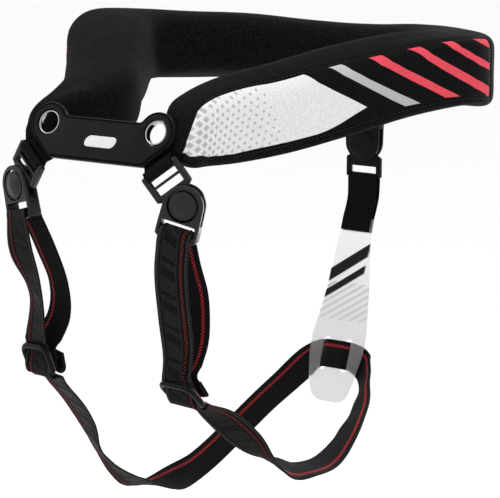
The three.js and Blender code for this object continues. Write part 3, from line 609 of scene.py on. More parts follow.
def stitching_tree():
    """Lays small rounded stitches along a line of points that each carry their outward direction."""
    tree = bpy.data.node_groups.new("stitching", "GeometryNodeTree")
    tree.interface.new_socket("Seam", in_out="INPUT", socket_type="NodeSocketGeometry")
    for name in ("Pitch", "Length", "Width", "Height", "Slant"):
        tree.interface.new_socket(name, in_out="INPUT", socket_type="NodeSocketFloat")
    tree.interface.new_socket("Thread", in_out="INPUT", socket_type="NodeSocketMaterial")
    tree.interface.new_socket("Stitches", in_out="OUTPUT", socket_type="NodeSocketGeometry")
    given = tree.nodes.new("NodeGroupInput").outputs
    line, even, bead, stitch, outward, run, laid, real, smooth, thread = (
        tree.nodes.new(f"GeometryNode{kind}") for kind in (
            "MeshToCurve", "ResampleCurve", "MeshUVSphere", "Transform", "InputNamedAttribute",
            "InputTangent", "InstanceOnPoints", "RealizeInstances", "SetShadeSmooth", "SetMaterial"))
    facing, lean, turned_by = (
        tree.nodes.new(f"FunctionNode{kind}")
        for kind in ("AxesToRotation", "EulerToRotation", "RotateRotation"))
    size, slant = (tree.nodes.new("ShaderNodeCombineXYZ") for _ in range(2))
    made = tree.nodes.new("NodeGroupOutput")
    even.mode = "LENGTH"
    for socket, value in (("Segments", 6), ("Rings", 4), ("Radius", 0.5)):
        bead.inputs[socket].default_value = value
    outward.data_type = "FLOAT_VECTOR"
    outward.inputs["Name"].default_value = "out"
    facing.primary_axis, facing.secondary_axis = "Z", "X"
    turned_by.rotation_space = "LOCAL"
    for source, node, socket in (
            (given["Seam"], line, "Mesh"), (line.outputs[0], even, "Curve"), (given["Pitch"], even, "Length"),
            (given["Length"], size, "X"), (given["Width"], size, "Y"), (given["Height"], size, "Z"),
            (bead.outputs[0], stitch, "Geometry"), (size.outputs[0], stitch, "Scale"),
            (outward.outputs[0], facing, "Primary Axis"), (run.outputs[0], facing, "Secondary Axis"),
            (given["Slant"], slant, "Z"), (slant.outputs[0], lean, "Euler"),
            (facing.outputs[0], turned_by, "Rotation"), (lean.outputs[0], turned_by, "Rotate By"),
            (even.outputs[0], laid, "Points"), (stitch.outputs[0], laid, "Instance"),
            (turned_by.outputs[0], laid, "Rotation"), (laid.outputs[0], real, "Geometry"),
            (real.outputs[0], smooth, "Geometry"), (smooth.outputs[0], thread, "Geometry"),
            (given["Thread"], thread, "Material"), (thread.outputs[0], made, "Stitches")):
        tree.links.new(source, node.inputs[socket])
    return tree


STITCHING = stitching_tree()


def stitched(name, lines, thread, pitch, length, width, height, slant):
    """Stitches along lines of points and outward directions, in millimetres, as a plain mesh."""
    points = np.concatenate([line for line, _ in lines])
    outward = np.concatenate([facing for _, facing in lines])
    edges, start = [], 0
    for line, _ in lines:
        edges += [(start + k, start + k + 1) for k in range(len(line) - 1)]
        start += len(line)
    mesh = bpy.data.meshes.new(name)
    mesh.from_pydata([tuple(p) for p in points * MM], edges, [])
    facing = mesh.attributes.new("out", "FLOAT_VECTOR", "POINT")
    facing.data.foreach_set("vector", outward.astype(np.float32).ravel())
    piece = added(name, mesh)
    sewing = piece.modifiers.new("sewing", "NODES")
    sewing.node_group = STITCHING
    values = {"Pitch": pitch * MM, "Length": length * MM, "Width": width * MM, "Height": height * MM,
              "Slant": math.radians(slant), "Thread": thread}
    for socket in STITCHING.interface.items_tree:
        if socket.in_out == "INPUT" and socket.name in values:
            sewing[socket.identifier] = values[socket.name]
    return plain_mesh(piece)


def thread_finish(name, colour, roughness=0.55):
    """Twisted sewing thread: fine turns along each stitch and a soft shine."""
    thread, shader = finish_of(name, colour, roughness, {"Specular IOR Level": 0.2})
    tree = thread.node_tree
    twist = uneven(tree, 2600.0, 2.0, 0.5)
    darker = tuple(0.6 * c for c in colour)
    tree.links.new(colour_between(tree, twist, darker, colour), shader.inputs["Base Color"])
    relief(tree, shader, twist, 0.08, 0.5)
    return thread


cover_normals = facings(cover).astype(float)
cover_points = mesh_points(cover) / MM
near_places = KDTree(len(places))
for k, (a, d) in enumerate(places):
    near_places.insert((a, d, 0), k)
near_places.balance()


def on_cover(flat_line, lift):
    """A line drawn on the flat cover, carried to the padded one and lifted clear of it."""
    line, facing = [], []
    for a, d in flat_line:
        found = near_places.find_n((a, d, 0), 6)
        weights = np.array([1 / (distance**2 + 0.05) for _, _, distance in found])
        weights /= weights.sum()
        picked = [k for _, k, _ in found]
        normal = weights @ cover_normals[picked]
        normal /= np.linalg.norm(normal)
        line.append(weights @ cover_points[picked] + normal * lift)
        facing.append(normal)
    return np.array(line), np.array(facing)


def drawn(corners, step=2.0):
    """A flat line through its corners with a point every step or so."""
    corners = np.asarray(corners, float)
    reach = distance_along(corners)
    at = np.linspace(0, reach[-1], max(2, int(reach[-1] / step)))
    return np.column_stack([np.interp(at, reach, corners[:, k]) for k in (0, 1)])


top_seam = [(a, d - SEAM_INSET) for a, d in PANEL[1:12]]
bottom_seam = [(a, d + SEAM_INSET) for a, d in PANEL[12:22]]
rear_seam = [(WHIPPED_AT, -4.5), (WHIPPED_AT, 40)]
black_thread = thread_finish("black_thread", (0.02, 0.02, 0.021))
runs, whips = [], []
for flip in (False, True):
    for seam, group in ((top_seam, runs), (bottom_seam, runs), (rear_seam, whips)):
        flat_line = drawn(seam)
        if flip:
            flat_line[:, 0] = pad_length - flat_line[:, 0]
        else:
            flat_line[:, 1] = RIGHT_FOOT - (RIGHT_FOOT - flat_line[:, 1]) * RIGHT_SHARE
        group.append(on_cover(flat_line, 0.05))
panel_stitches = stitched("panel_stitches", runs, black_thread, 2.6, 2.0, 0.5, 0.4, 0)
stands_for(panel_stitches, "fabric")
whip_stitches = stitched("whip_stitches", whips, black_thread, 1.9, 4.6, 0.75, 0.6, 72)
stands_for(whip_stitches, "fabric")

# Front plate: a satin moulding with a round ear at each end. A groove runs round just inside its rim, and a
# plain pale inlay is set in the middle.
PLATE_CENTRE = (0, -149.5, -2.5)
PLATE_LEAN = 23
EAR_APART, EAR_RADIUS, HOLE_RADIUS = 74, 12, 7.4
PLATE_TOP, PLATE_BOTTOM, BOTTOM_HALF = 5, -20, 33
PLATE_LEVELS = [(0.9, -2.0), (0.45, -1.95), (0.12, -1.7), (0, -1.2), (0, 0.75), (0.1, 1.15), (0.35, 1.45),
                (0.7, 1.5), (0.9, 1.2), (1.05, 0.85), (1.3, 0.8), (1.5, 1.1), (1.62, 1.6), (1.85, 1.92),
                (2.2, 2.0)]
HOLE_LEVELS = [(0.55, 2.0), (0.25, 1.9), (0.06, 1.6), (0, 1.2), (0, -1.6), (0.3, -2.0)]
plate_frame = Matrix.Translation(PLATE_CENTRE) @ Matrix.Rotation(math.radians(90 - PLATE_LEAN), 4, "X")


def arc(centre, radius, start, end, steps):
    return [(centre[0] + radius * math.cos(a), centre[1] + radius * math.sin(a))
            for a in np.linspace(start, end, steps + 1)]


def plate_outline():
    ear = EAR_APART / 2
    shoulder = math.pi - math.asin(PLATE_TOP / EAR_RADIUS)
    to_corner = math.hypot(ear - BOTTOM_HALF, PLATE_BOTTOM)
    corner_angle = math.atan2(-PLATE_BOTTOM, ear - BOTTOM_HALF)
    flank = corner_angle - math.asin(EAR_RADIUS / to_corner) - math.pi / 2
    right = [(BOTTOM_HALF, PLATE_BOTTOM), *arc((ear, 0), EAR_RADIUS, flank, shoulder, 40)]
    return np.array(right + [(-x, y) for x, y in right[::-1]])


def even_steps(outline, count):
    closed = np.vstack([outline, outline[:1]])
    reach = distance_along(closed)
    places = np.linspace(0, reach[-1], count, endpoint=False)
    return np.column_stack([np.interp(places, reach, closed[:, k]) for k in (0, 1)])


def softened(outline, spread):
    """A closed outline of even steps with its corners rounded over."""
    count = len(outline)
    step = np.linalg.norm(outline[1] - outline[0])
    turns = np.minimum(np.arange(count), count - np.arange(count)) * step
    weights = np.exp(-((turns / spread) ** 2))
    weights /= weights.sum()
    mixed = [np.real(np.fft.ifft(np.fft.fft(outline[:, k]) * np.fft.fft(weights))) for k in (0, 1)]
    return np.column_stack(mixed)


def set_in(outline, depth):
    """An outline, counter-clockwise, moved into the material."""
    run = np.roll(outline, -1, axis=0) - np.roll(outline, 1, axis=0)
    run /= np.linalg.norm(run, axis=1, keepdims=True)
    return outline + np.column_stack([-run[:, 1], run[:, 0]]) * depth


def fill_between(shape, rings_of_verts):
    """Fills the flat area between an outer ring and the rings of its holes."""
    edges = []
    for ring in rings_of_verts:
        edges += [shape.edges.get(pair) or shape.edges.new(pair) for pair in zip(ring, ring[1:] + ring[:1])]
    bmesh.ops.triangle_fill(shape, use_beauty=True, use_dissolve=False, edges=edges)


def moved_by(points, matrix):
    points = np.asarray(points, float)
    turn = np.array(matrix)
    return points @ turn[:3, :3].T + turn[:3, 3]


PLATE_STEPS, HOLE_STEPS = 360, 72
rim = softened(even_steps(plate_outline(), PLATE_STEPS), 1.6)
shape = bmesh.new()


def add_ring(flat, height):
    points = np.column_stack([flat, np.full(len(flat), height)])
    return [shape.verts.new(p * MM) for p in moved_by(points, plate_frame)]


def join_rings(levels):
    for lower, upper in zip(levels, levels[1:]):
        for k in range(len(lower)):
            m = (k + 1) % len(lower)
            shape.faces.new((lower[k], lower[m], upper[m], upper[k]))


rim_rings = [add_ring(set_in(rim, depth), height) for depth, height in PLATE_LEVELS]
join_rings(rim_rings)
hole_rings = []
for side in (-1, 1):
    circle = np.array(arc((side * EAR_APART / 2, 0), HOLE_RADIUS, 0, 2 * math.pi, HOLE_STEPS)[:-1])
    middle = np.array([side * EAR_APART / 2, 0])
    levels = [add_ring(middle + (circle - middle) * (1 + flare / HOLE_RADIUS), height)
              for flare, height in HOLE_LEVELS]
    join_rings(levels)
    hole_rings.append(levels)
fill_between(shape, [rim_rings[-1]] + [levels[0] for levels in hole_rings])
fill_between(shape, [rim_rings[0]] + [levels[-1] for levels in hole_rings])
bmesh.ops.recalc_face_normals(shape, faces=shape.faces)
plate_mesh = bpy.data.meshes.new("front_plate_moulding")
shape.to_mesh(plate_mesh)
shape.free()


def crisp(mesh, degrees=38):
    """Smooth faces that meet sharply at the steeper edges."""
    mesh.shade_smooth()
    mesh.set_sharp_from_angle(angle=math.radians(degrees))


crisp(plate_mesh, 40)
front_plate = added("front_plate_moulding", plate_mesh)

SATIN_BLACK, SATIN_SCUFFED = (0.0045, 0.0045, 0.0047), (0.0075, 0.0075, 0.0078)
satin_black, shader = finish_of("satin_black", SATIN_BLACK, 0.36, {"Specular IOR Level": 0.085})
tree = satin_black.node_tree
grain = uneven(tree, 1800.0, 2.0, 0.6)
scuffs = uneven(tree, 60.0, 4.0, 0.6)
tree.links.new(colour_between(tree, scuffs, SATIN_BLACK, SATIN_SCUFFED), shader.inputs["Base Color"])
tree.links.new(ramp(tree, scuffs, 0.3, 0.7, 0.30, 0.42), shader.inputs["Roughness"])
relief(tree, shader, grain, 0.05, 0.35)
stands_for(front_plate, "moulded", "front_plate", finish=satin_black)


def facing_out(mesh, merged=False):
    """Turns a mesh's faces outwards, if asked after its doubles are merged."""
    solid = bmesh.new()
    solid.from_mesh(mesh)
    if merged:
        bmesh.ops.remove_doubles(solid, verts=solid.verts, dist=1e-6)
    bmesh.ops.recalc_face_normals(solid, faces=solid.faces)
    solid.to_mesh(mesh)
    solid.free()


def outline_solid(name, outline, holes, thickness, edge, matrix, edge_steps=3):
    """A flat moulding of an outline with holes, with rounded edges, turned and set in its place."""
    flat = bpy.data.curves.new(name, "CURVE")
    flat.dimensions = "2D"
    flat.fill_mode = "BOTH"
    flat.extrude = (thickness / 2 - edge) * MM
    flat.bevel_depth = edge * MM
    flat.bevel_resolution = edge_steps
    flat.offset = -edge * MM
    for ring in (outline, *holes):
        spline = flat.splines.new("POLY")
        spline.points.add(len(ring) - 1)
        for point, (x, y) in zip(spline.points, ring):
            point.co = (x * MM, y * MM, 0, 1)
        spline.use_cyclic_u = True
    holder = added(name, flat)
    mesh = as_seen(holder)
    bpy.data.objects.remove(holder)
    facing_out(mesh, merged=True)
    mesh.transform(Matrix.Diagonal((MM, MM, MM, 1)) @ matrix @ Matrix.Diagonal((1 / MM, 1 / MM, 1 / MM, 1)))
    mesh.name = name
    crisp(mesh)
    return added(name, mesh)


def rounded_box(width, height, radius, x=0.0, y=0.0, steps=6):
    right, left = x + width / 2 - radius, x - width / 2 + radius
    top, bottom = y + height / 2 - radius, y - height / 2 + radius
    quarter = math.pi / 2
    corners = ((right, top), (left, top), (left, bottom), (right, bottom))
    return [point for k, corner in enumerate(corners)
            for point in arc(corner, radius, k * quarter, (k + 1) * quarter, steps)]


INLAY = {"width": 21, "height": 6.5, "thickness": 0.7, "slant": 0.35}
slanted = [(x + INLAY["slant"] * y, y) for x, y in rounded_box(INLAY["width"], INLAY["height"], 3.1)]
inlay = outline_solid("plate_inlay", slanted, [], INLAY["thickness"], 0.2,
                      plate_frame @ Matrix.Translation((2, -8.5, 2.05)))
INLAY_CLEAN, INLAY_WORN = (0.72, 0.72, 0.73), (0.60, 0.60, 0.61)
pale_inlay, shader = finish_of("pale_inlay", INLAY_CLEAN, 0.4)
tree = pale_inlay.node_tree
wear = uneven(tree, 220.0, 4.0, 0.6)
tree.links.new(colour_between(tree, wear, INLAY_CLEAN, INLAY_WORN), shader.inputs["Base Color"])
relief(tree, shader, wear, 0.03, 0.3)
stands_for(inlay, "moulded", finish=pale_inlay)

# Eyelets: bright rolled rings pressed into the holes of the plate's ears. Each is turned from one profile and
# set back a little in its hole.
EYELET_PROFILE = [(7.1, -2.2), (7.12, 1.2), (7.0, 1.75), (6.78, 1.98), (6.55, 2.05), (6.32, 1.98),
                  (6.12, 1.75), (6.02, 1.2), (5.98, -1.7), (6.1, -2.1), (6.4, -2.3), (6.8, -2.3)]
EYELET_SET_BACK = 0.6


def ring_faces(rows, count):
    """The faces of a ring that is closed both ways, from its rows of so many points."""
    return [(i * count + j, (i + 1) % rows * count + j, (i + 1) % rows * count + (j + 1) % count,
             i * count + (j + 1) % count) for i in range(rows) for j in range(count)]


def turned(profile, steps):
    """A closed ring turned from its profile of radius and height."""
    points = []
    for k in range(steps):
        a = 2 * math.pi * k / steps
        points += [(r * math.cos(a), r * math.sin(a), z) for r, z in profile]
    return points, ring_faces(steps, len(profile))


bright_nickel, shader = finish_of("bright_nickel", (0.42, 0.415, 0.405), 0.14, {"Metallic": 1.0})
tree = bright_nickel.node_tree
smears = uneven(tree, 350.0, 3.0, 0.6)
tree.links.new(ramp(tree, smears, 0.3, 0.75, 0.08, 0.24), shader.inputs["Roughness"])
for name, side in (("left", 1), ("right", -1)):
    points, faces = turned(EYELET_PROFILE, 72)
    seat = plate_frame @ Matrix.Translation((side * EAR_APART / 2, 0, -EYELET_SET_BACK))
    eyelet = place_mesh(f"eyelet_ring_{name}", moved_by(points, seat), faces)
    eyelet.data.flip_normals()
    stands_for(eyelet, "nickel", f"eyelet_{name}", finish=bright_nickel)

# Front tabs: short folds of ribbed black webbing that hang the front buckles from the plate's ears. Their
# lower ends are drawn up along the buckles' frames, which are longer here than their solids.
WEBBING_SECTION = [(-1, 0), (-0.985, 0.4), (-0.95, 0.62), (-0.86, 0.68), (-0.79, 0.6), (-0.76, 0.54),
                   (-0.4, 0.58), (0, 0.6), (0.4, 0.58), (0.76, 0.54), (0.79, 0.6), (0.86, 0.68), (0.95, 0.62),
                   (0.985, 0.4), (1, 0)]


def unit(vectors):
    return vectors / np.maximum(np.linalg.norm(vectors, axis=-1, keepdims=True), 1e-9)


def strap_rows(node, near, edge, face, spacing=1.6):
    """A strap's middle line, its way across and its outer side, walked ring by ring through its solid. The
    edge and the face given are those that the strap shows near a place."""
    solid = bmesh.new()
    solid.from_mesh(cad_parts[node].data)
    bmesh.ops.remove_doubles(solid, verts=solid.verts, dist=1e-6)
    solid.verts.index_update()
    points = np.array([v.co for v in solid.verts]) / MM
    beside = [[e.other_vert(v).index for e in v.link_edges] for v in solid.verts]
    solid.free()
    ends = {k for k, others in enumerate(beside) if len(others) == 4}
    ring, seen, middle, across = set(beside[min(ends)]), ends, [], []
    while len(ring) == 4:
        corners = points[sorted(ring)]
        middle.append(corners.mean(0))
        apart = np.argsort(np.linalg.norm(corners - corners[0], axis=1))
        wide = corners[apart[2:]].mean(0) - corners[apart[:2]].mean(0)
        across.append(wide if not across or wide @ across[-1] > 0 else -wide)
        seen = seen | ring
        ring = {k for r in ring for k in beside[r]} - seen
    middle, across = np.array(middle), unit(np.array(across))
    heading = unit(np.gradient(middle, axis=0))
    at = [0.0]
    for i in range(len(middle) - 1):
        length = np.linalg.norm(middle[i + 1] - middle[i])
        turn = math.acos(min(1, max(-1, heading[i] @ heading[i + 1])))
        steps = max(1, math.ceil(length / spacing), math.ceil(turn / 0.2))
        at += [i + (k + 1) / steps for k in range(steps)]
    at = np.array(at)
    share = at / (len(middle) - 1)
    line = curve_through(middle, share)
    along = distance_along(line)
    across = unit(np.column_stack([np.interp(at, np.arange(len(middle)), across[:, k]) for k in range(3)]))
    shown = np.linalg.norm(line - np.array(near), axis=1).argmin()
    across *= np.sign(across[shown] @ np.array(edge, float))
    out = unit(np.cross(np.gradient(line, along, axis=0), across))
    out *= np.sign(out[shown] @ np.array(face, float))
    return {"line": line, "across": across, "out": out, "along": along, "spread": np.ones(len(line))}


def swept(name, points, rows, flat, layer):
    """A closed piece from rows of one section's points, with each point's place on the flat map."""
    count = len(points) // rows
    faces = []
    for i in range(rows - 1):
        for j in range(count):
            k = (j + 1) % count
            faces.append((i * count + j, i * count + k, (i + 1) * count + k, (i + 1) * count + j))
    faces += [[i * count + j for j in range(count)] for i in (0, rows - 1)]
    piece = place_mesh(name, points, faces, [flat[corner] for face in faces for corner in face], layer)
    facing_out(piece.data)
    return piece


def webbing(name, rows, width, outer_finish, inner_finish):
    """A woven strap along its rows, thicker at the selvedges, with an outer and an inner finish."""
    outer = [(u * width / 2, w) for u, w in WEBBING_SECTION]
    section = outer + [(v, -w) for v, w in outer[-2:0:-1]]
    stations = zip(*(rows[way] for way in ("line", "across", "out", "spread")))
    points = [middle + across * v * spread + out * w
              for middle, across, out, spread in stations for v, w in section]
    flat = [(along, v) for along in rows["along"] for v, _ in section]
    piece = swept(name, points, len(rows["line"]), flat, "weave")
    finishes = [int(j >= len(outer) - 1) for j in range(len(section))] * (len(rows["line"]) - 1) + [0, 0]
    for finish in (outer_finish, inner_finish):
        piece.data.materials.append(finish)
    piece.data.polygons.foreach_set("material_index", finishes)
    return piece


def woven(name, dark, light, rib_along, rib_across, depth, sheen=0.006):
    """Woven yarn: ribs along and across the strap, with yarns that vary a little and painted shade in the rib
    hollows.
    """
    cloth, shader = finish_of(name, dark, 0.75, {"Specular IOR Level": 0.06, "Sheen Weight": sheen,
                                                 "Sheen Roughness": 0.4})
    tree = cloth.node_tree
    along, across = flat_map(tree, "weave")
    cross_rib = wave(tree, along, rib_along)
    long_rib = wave(tree, across, rib_across)
    yarn = uneven(tree, 700.0, 3.0, 0.6)
    # The colour follows the ribs' height, so the hollows take painted shade; the yarn noise varies it at
    # random.
    height = sum_of(tree, "MULTIPLY", cross_rib, long_rib)
    shade = sum_of(tree, "MULTIPLY", height, yarn)
    tree.links.new(colour_between(tree, shade, dark, light), shader.inputs["Base Color"])
    tree.links.new(ramp(tree, yarn, 0.3, 0.7, 0.66, 0.84), shader.inputs["Roughness"])
    relief(tree, shader, height, depth, 0.8)
    return cloth, shader, shade


RIBBED_DARK, RIBBED_LIGHT = (0.0022, 0.0022, 0.0024), (0.011, 0.011, 0.0114)
ribbed_webbing = woven("ribbed_webbing", RIBBED_DARK, RIBBED_LIGHT, 1.1, 2.6, 0.16)[0]
TAB_WIDTH, TAB_TURN, FRAME_REACH = 19, 37, 2.2
for side, sign in (("left", 1), ("right", -1)):
    low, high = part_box(f"front_tab_{side}")
    rows = strap_rows(f"front_tab_{side}", ((low + high) / 2) / MM, (1, 0, 0), (0, -1, 0), 1.0)
    lowest = rows["line"][:, 2].min()
    drawn_up = np.clip(1 - (rows["line"][:, 2] - lowest) / 9, 0, 1)[:, None]
    turn = math.radians(TAB_TURN)
    up_the_frame = np.array((-sign * math.sin(turn), 0, math.cos(turn)))
    rows["line"] = rows["line"] + FRAME_REACH * drawn_up * up_the_frame
    tab = webbing(f"front_tab_webbing_{side}", rows, TAB_WIDTH, ribbed_webbing, ribbed_webbing)
    stands_for(tab, "webbing", f"front_tab_{side}")

# Swivel buckles: moulded black plastic. A frame with a round tongue turns in a forked head under a domed
# button, the webbing goes round the bar at the far end of each, and the rear one is a size larger.
CLEAR = 0.3
FRAME_THICK, HEAD_THICK, STRAP_SLOT, FRAME_BAR, CORNER = 3.0, 8.5, 3.2, 2.8, 2.0
BUTTON_HEIGHT, BUTTON_RING = 3.9, 1.2


def buckle_sizes(strap_width):
    slot = strap_width + 2 * CLEAR
    half = slot / 2 + 2.2
    tongue = half - 3.4
    slit = -(tongue + 2 * CLEAR)
    window = half - 2.5
    return {"slot": slot, "half": half, "tongue": tongue, "slit": slit, "slot_top": slit - 3.2,
            "bar_top": slit - 3.2 - STRAP_SLOT, "bar_bottom": slit - 3.2 - STRAP_SLOT - 4.2, "window": window,
            "top": window + 7.5 + STRAP_SLOT + FRAME_BAR, "button": tongue - 0.6}


def upright(at, azimuth, roll):
    """Faces out along an azimuth, rolled about that direction: x to the right, y up, z out."""
    turn = math.radians(azimuth)
    stand = Matrix(((math.cos(turn), 0, math.sin(turn), at[0]), (math.sin(turn), 0, -math.cos(turn), at[1]),
                    (0, 1, 0, at[2]), (0, 0, 0, 1)))
    return stand @ Matrix.Rotation(math.radians(roll), 4, "Z")


def joined(name, *parts):
    """One piece from several closed forms."""
    whole = bmesh.new()
    for part in parts:
        whole.from_mesh(part.data)
    mesh = bpy.data.meshes.new(name)
    whole.to_mesh(mesh)
    whole.free()
    for part in parts:
        bpy.data.objects.remove(part)
    return added(name, mesh)


def cut_away(piece, *tools):
    """Takes the tools' forms out of a piece and softens the edges that they leave."""
    for tool in tools:
        cut = piece.modifiers.new("cut", "BOOLEAN")
        cut.operation = "DIFFERENCE"
        cut.solver = "EXACT"
        cut.object = tool
    plain_mesh(piece)
    for tool in tools:
        bpy.data.objects.remove(tool)
    crisp(piece.data)
    return piece


def domed(name, profile, steps, matrix):
    """A round form from the rim of its foot to the top of its dome, closed below."""
    points, faces = [(0, 0, profile[0][1])], []
    for r, z in profile[:-1]:
        points += [(r * math.cos(a), r * math.sin(a), z)
                   for a in np.linspace(0, 2 * math.pi, steps, endpoint=False)]
    points.append((0, 0, profile[-1][1]))
    for k in range(steps):
        m = (k + 1) % steps
        faces.append((0, 1 + m, 1 + k))
        for j in range(len(profile) - 2):
            a, b = 1 + j * steps, 1 + (j + 1) * steps
            faces.append((a + k, a + m, b + m, b + k))
        last = 1 + (len(profile) - 2) * steps
        faces.append((last + k, last + m, len(points) - 1))
    piece = place_mesh(name, moved_by(points, matrix), faces)
    crisp(piece.data, 50)
    return piece


def buckle_plastic(name, dark, light, sheen):
    """Moulded plastic with a fine grain, rubbed smoother and paler here and there by handling."""
    plastic, shader = finish_of(name, dark, 0.3, {"Specular IOR Level": sheen})
    tree = plastic.node_tree
    texture = uneven(tree, 2200.0, 2.0, 0.5)
    handling = uneven(tree, 160.0, 4.0, 0.6)
    tree.links.new(colour_between(tree, handling, dark, light), shader.inputs["Base Color"])
    tree.links.new(ramp(tree, handling, 0.3, 0.7, 0.20, 0.34), shader.inputs["Roughness"])
    relief(tree, shader, texture, 0.05, 0.3)
    return plastic


buckle_black = buckle_plastic("buckle_black", (0.0075, 0.0075, 0.0078), (0.012, 0.012, 0.0124), 0.24)
# A darker copy of the buckle plastic for the sliders and the rear buckle: its darker colour is painted shade,
# and its lower shine is a duller finish.
dull_black_painted_shade = buckle_plastic("dull_black_painted_shade", (0.0035, 0.0035, 0.0037), (0.007, 0.007, 0.0072), 0.07)
BUCKLES = {
    "left": {"at": (57.8, -153.2, -39.7), "azimuth": 17, "head": -15, "frame": 37, "strap": 19},
    "right": {"at": (-57.8, -153.2, -39.7), "azimuth": -17, "head": 15, "frame": -37, "strap": 19},
    "rear": {"at": (0, 143.3, -49.8), "azimuth": 180, "head": 180, "frame": 180, "strap": 21},
}
for place, buckle in BUCKLES.items():
    size = buckle_sizes(buckle["strap"])
    rear = place == "rear"
    half, tongue, top = size["half"], size["tongue"], size["top"] + (0 if rear else FRAME_REACH)
    frame_node, head_node, button_node = (f"rear_{part}" if rear else f"buckle_{part}_{place}"
                                          for part in ("frame", "head", "button"))
    # The rear buckle takes the darker plastic, whose extra darkness is painted shade.
    plastic = dull_black_painted_shade if rear else buckle_black
    seat = upright(buckle["at"], buckle["azimuth"], buckle["frame"])
    shoulder = size["window"] - 0.5
    outline = [*arc((0, 0), tongue, 0.75 * math.pi, 2.25 * math.pi, 48), (half, shoulder),
               *arc((half - CORNER, top - CORNER), CORNER, 0, math.pi / 2, 6),
               *arc((-half + CORNER, top - CORNER), CORNER, math.pi / 2, math.pi, 6), (-half, shoulder)]
    tab_slot_top = top - FRAME_BAR
    windows = [rounded_box(size["slot"] - 2.5, 4.2, 0.6, 0, tab_slot_top - 8.7, 4),
               rounded_box(size["slot"], 5.0, 0.6, 0, tab_slot_top - 2.5, 4)][1 if rear else 0:]
    plate = outline_solid("tongue", outline, windows, FRAME_THICK, 0.7, seat)
    rails = []
    for side in (-1, 1):
        rail = rounded_box(3.4, top - shoulder - 0.4, 1.0, side * (half - 1.6), (top + shoulder) / 2 - 0.1, 4)
        rails.append(outline_solid("rail", rail, [], 4.4, 1.2, seat, 4))
    swivel = joined(f"{frame_node}_moulding", plate, *rails)
    stands_for(swivel, "buckle", frame_node, finish=plastic)

    seat = upright(buckle["at"], buckle["azimuth"], buckle["head"])
    bottom = size["bar_bottom"]
    outline = [*arc((0, 0), half - 0.4, 0, math.pi, 48), (-half, size["slot_top"]),
               *arc((-half + CORNER, bottom + CORNER), CORNER, math.pi, 1.5 * math.pi, 6),
               *arc((half - CORNER, bottom + CORNER), CORNER, 1.5 * math.pi, 2 * math.pi, 6),
               (half, size["slot_top"])]
    opening = size["slit"] - 1.0 - size["bar_top"]
    strap_slot = rounded_box(size["slot"], opening, 0.8, 0, size["bar_top"] + opening / 2, 4)
    head = outline_solid(f"{head_node}_moulding", outline, [strap_slot], HEAD_THICK, 1.0, seat)
    slit = outline_solid("slit", rounded_box(4 * half, 3 * half, 0.5, 0, size["slit"] + 1.5 * half, 2), [],
                         FRAME_THICK + 2 * CLEAR, 0.2, seat, 1)
    well = arc((0, 0), size["button"] + BUTTON_RING, 0, 2 * math.pi, 64)[:-1]
    well = outline_solid("well", well, [], HEAD_THICK, 0.2,
                         seat @ Matrix.Translation((0, 0, HEAD_THICK / 2)), 1)
    cut_away(head, slit, well)
    wide = half - 3.2
    disc = [(wide, HEAD_THICK / 2 - 0.6), (wide, HEAD_THICK / 2 + 0.3), (wide - 0.25, HEAD_THICK / 2 + 0.6),
            *((wide * math.cos(t) * 0.95, HEAD_THICK / 2 + 0.6 + 1.1 * math.sin(t))
              for t in np.linspace(0.1, 1.5, 8)), (0, HEAD_THICK / 2 + 1.7)]
    disc = domed("disc", disc, 64, seat @ Matrix.Rotation(math.pi, 4, "Y"))
    head = joined(f"{head_node}_moulding", head, disc)
    stands_for(head, "buckle", head_node, finish=plastic)

    wide, foot = size["button"], FRAME_THICK / 2 + CLEAR
    crown = foot + BUTTON_HEIGHT
    profile = [(wide - 0.4, foot), (wide, foot + 0.4), (wide, crown - 1.9), (wide - 0.2, crown - 1.5),
               (wide - 0.6, crown - 1.3), (wide - 1.3, crown - 1.22), (wide - 1.6, crown - 1.4),
               (wide - 1.9, crown - 1.22),
               *((r * (wide - 1.9), crown - 1.22 * r * r) for r in (0.9, 0.75, 0.6, 0.45, 0.3, 0.15)),
               (0, crown)]
    button = domed(f"{button_node}_moulding", profile, 64, seat)
    stands_for(button, "buckle", button_node, finish=plastic)

# Sliders: round-bar loops of dull black plastic, darkened with painted shade, that set the straps' length.
# They hang with the foot drawn back by the strap, and the webbing close to them turns with them.
SLIDER = {"width": 27, "height": 21, "bar": 3.5, "corner": 7, "spread": 0.12}
SLIDERS = {  # the solid's turn, and how it hangs
    "left": {"at": (56.7, -153.5, -147.3), "azimuth": 17, "roll": -18, "aside": 1.5,
             "across": (0.983, -0.17, 0.03), "down": (0.05, 0.68, -0.73)},
    "right": {"at": (-45.5, -152, -142.4), "azimuth": 0, "roll": -15, "aside": 2.6,
              "across": (0.95, -0.29, 0.11), "down": (0.18, 0.25, -0.95)},
}


def hung(slider):
    """How a slider hangs, and the turn that takes it there from its solid."""
    across = Vector(slider["across"]).normalized()
    up = -Vector(slider["down"])
    up = (up - across * up.dot(across)).normalized()
    hangs = Matrix((across, up, across.cross(up))).transposed()
    solid = upright(slider["at"], slider["azimuth"], slider["roll"]).to_3x3()
    place = Matrix.Translation(Vector(slider["at"]) - across * slider["aside"])
    return place @ hangs.to_4x4(), (hangs @ solid.transposed()).to_quaternion()


def relaxed(rows, share, reach):
    """Evens out a strap's bends where it hangs free."""
    weights = np.exp(-((rows["along"][:, None] - rows["along"][None]) / reach) ** 2)
    weights /= weights.sum(1, keepdims=True)
    for way in ("line", "across", "out"):
        rows[way] = rows[way] * (1 - share[:, None]) + (weights @ rows[way]) * share[:, None]
    rows["across"], rows["out"] = unit(rows["across"]), unit(rows["out"])


def smooth_step(values, low, high):
    share = np.clip((values - low) / (high - low), 0, 1)
    return share * share * (3 - 2 * share)


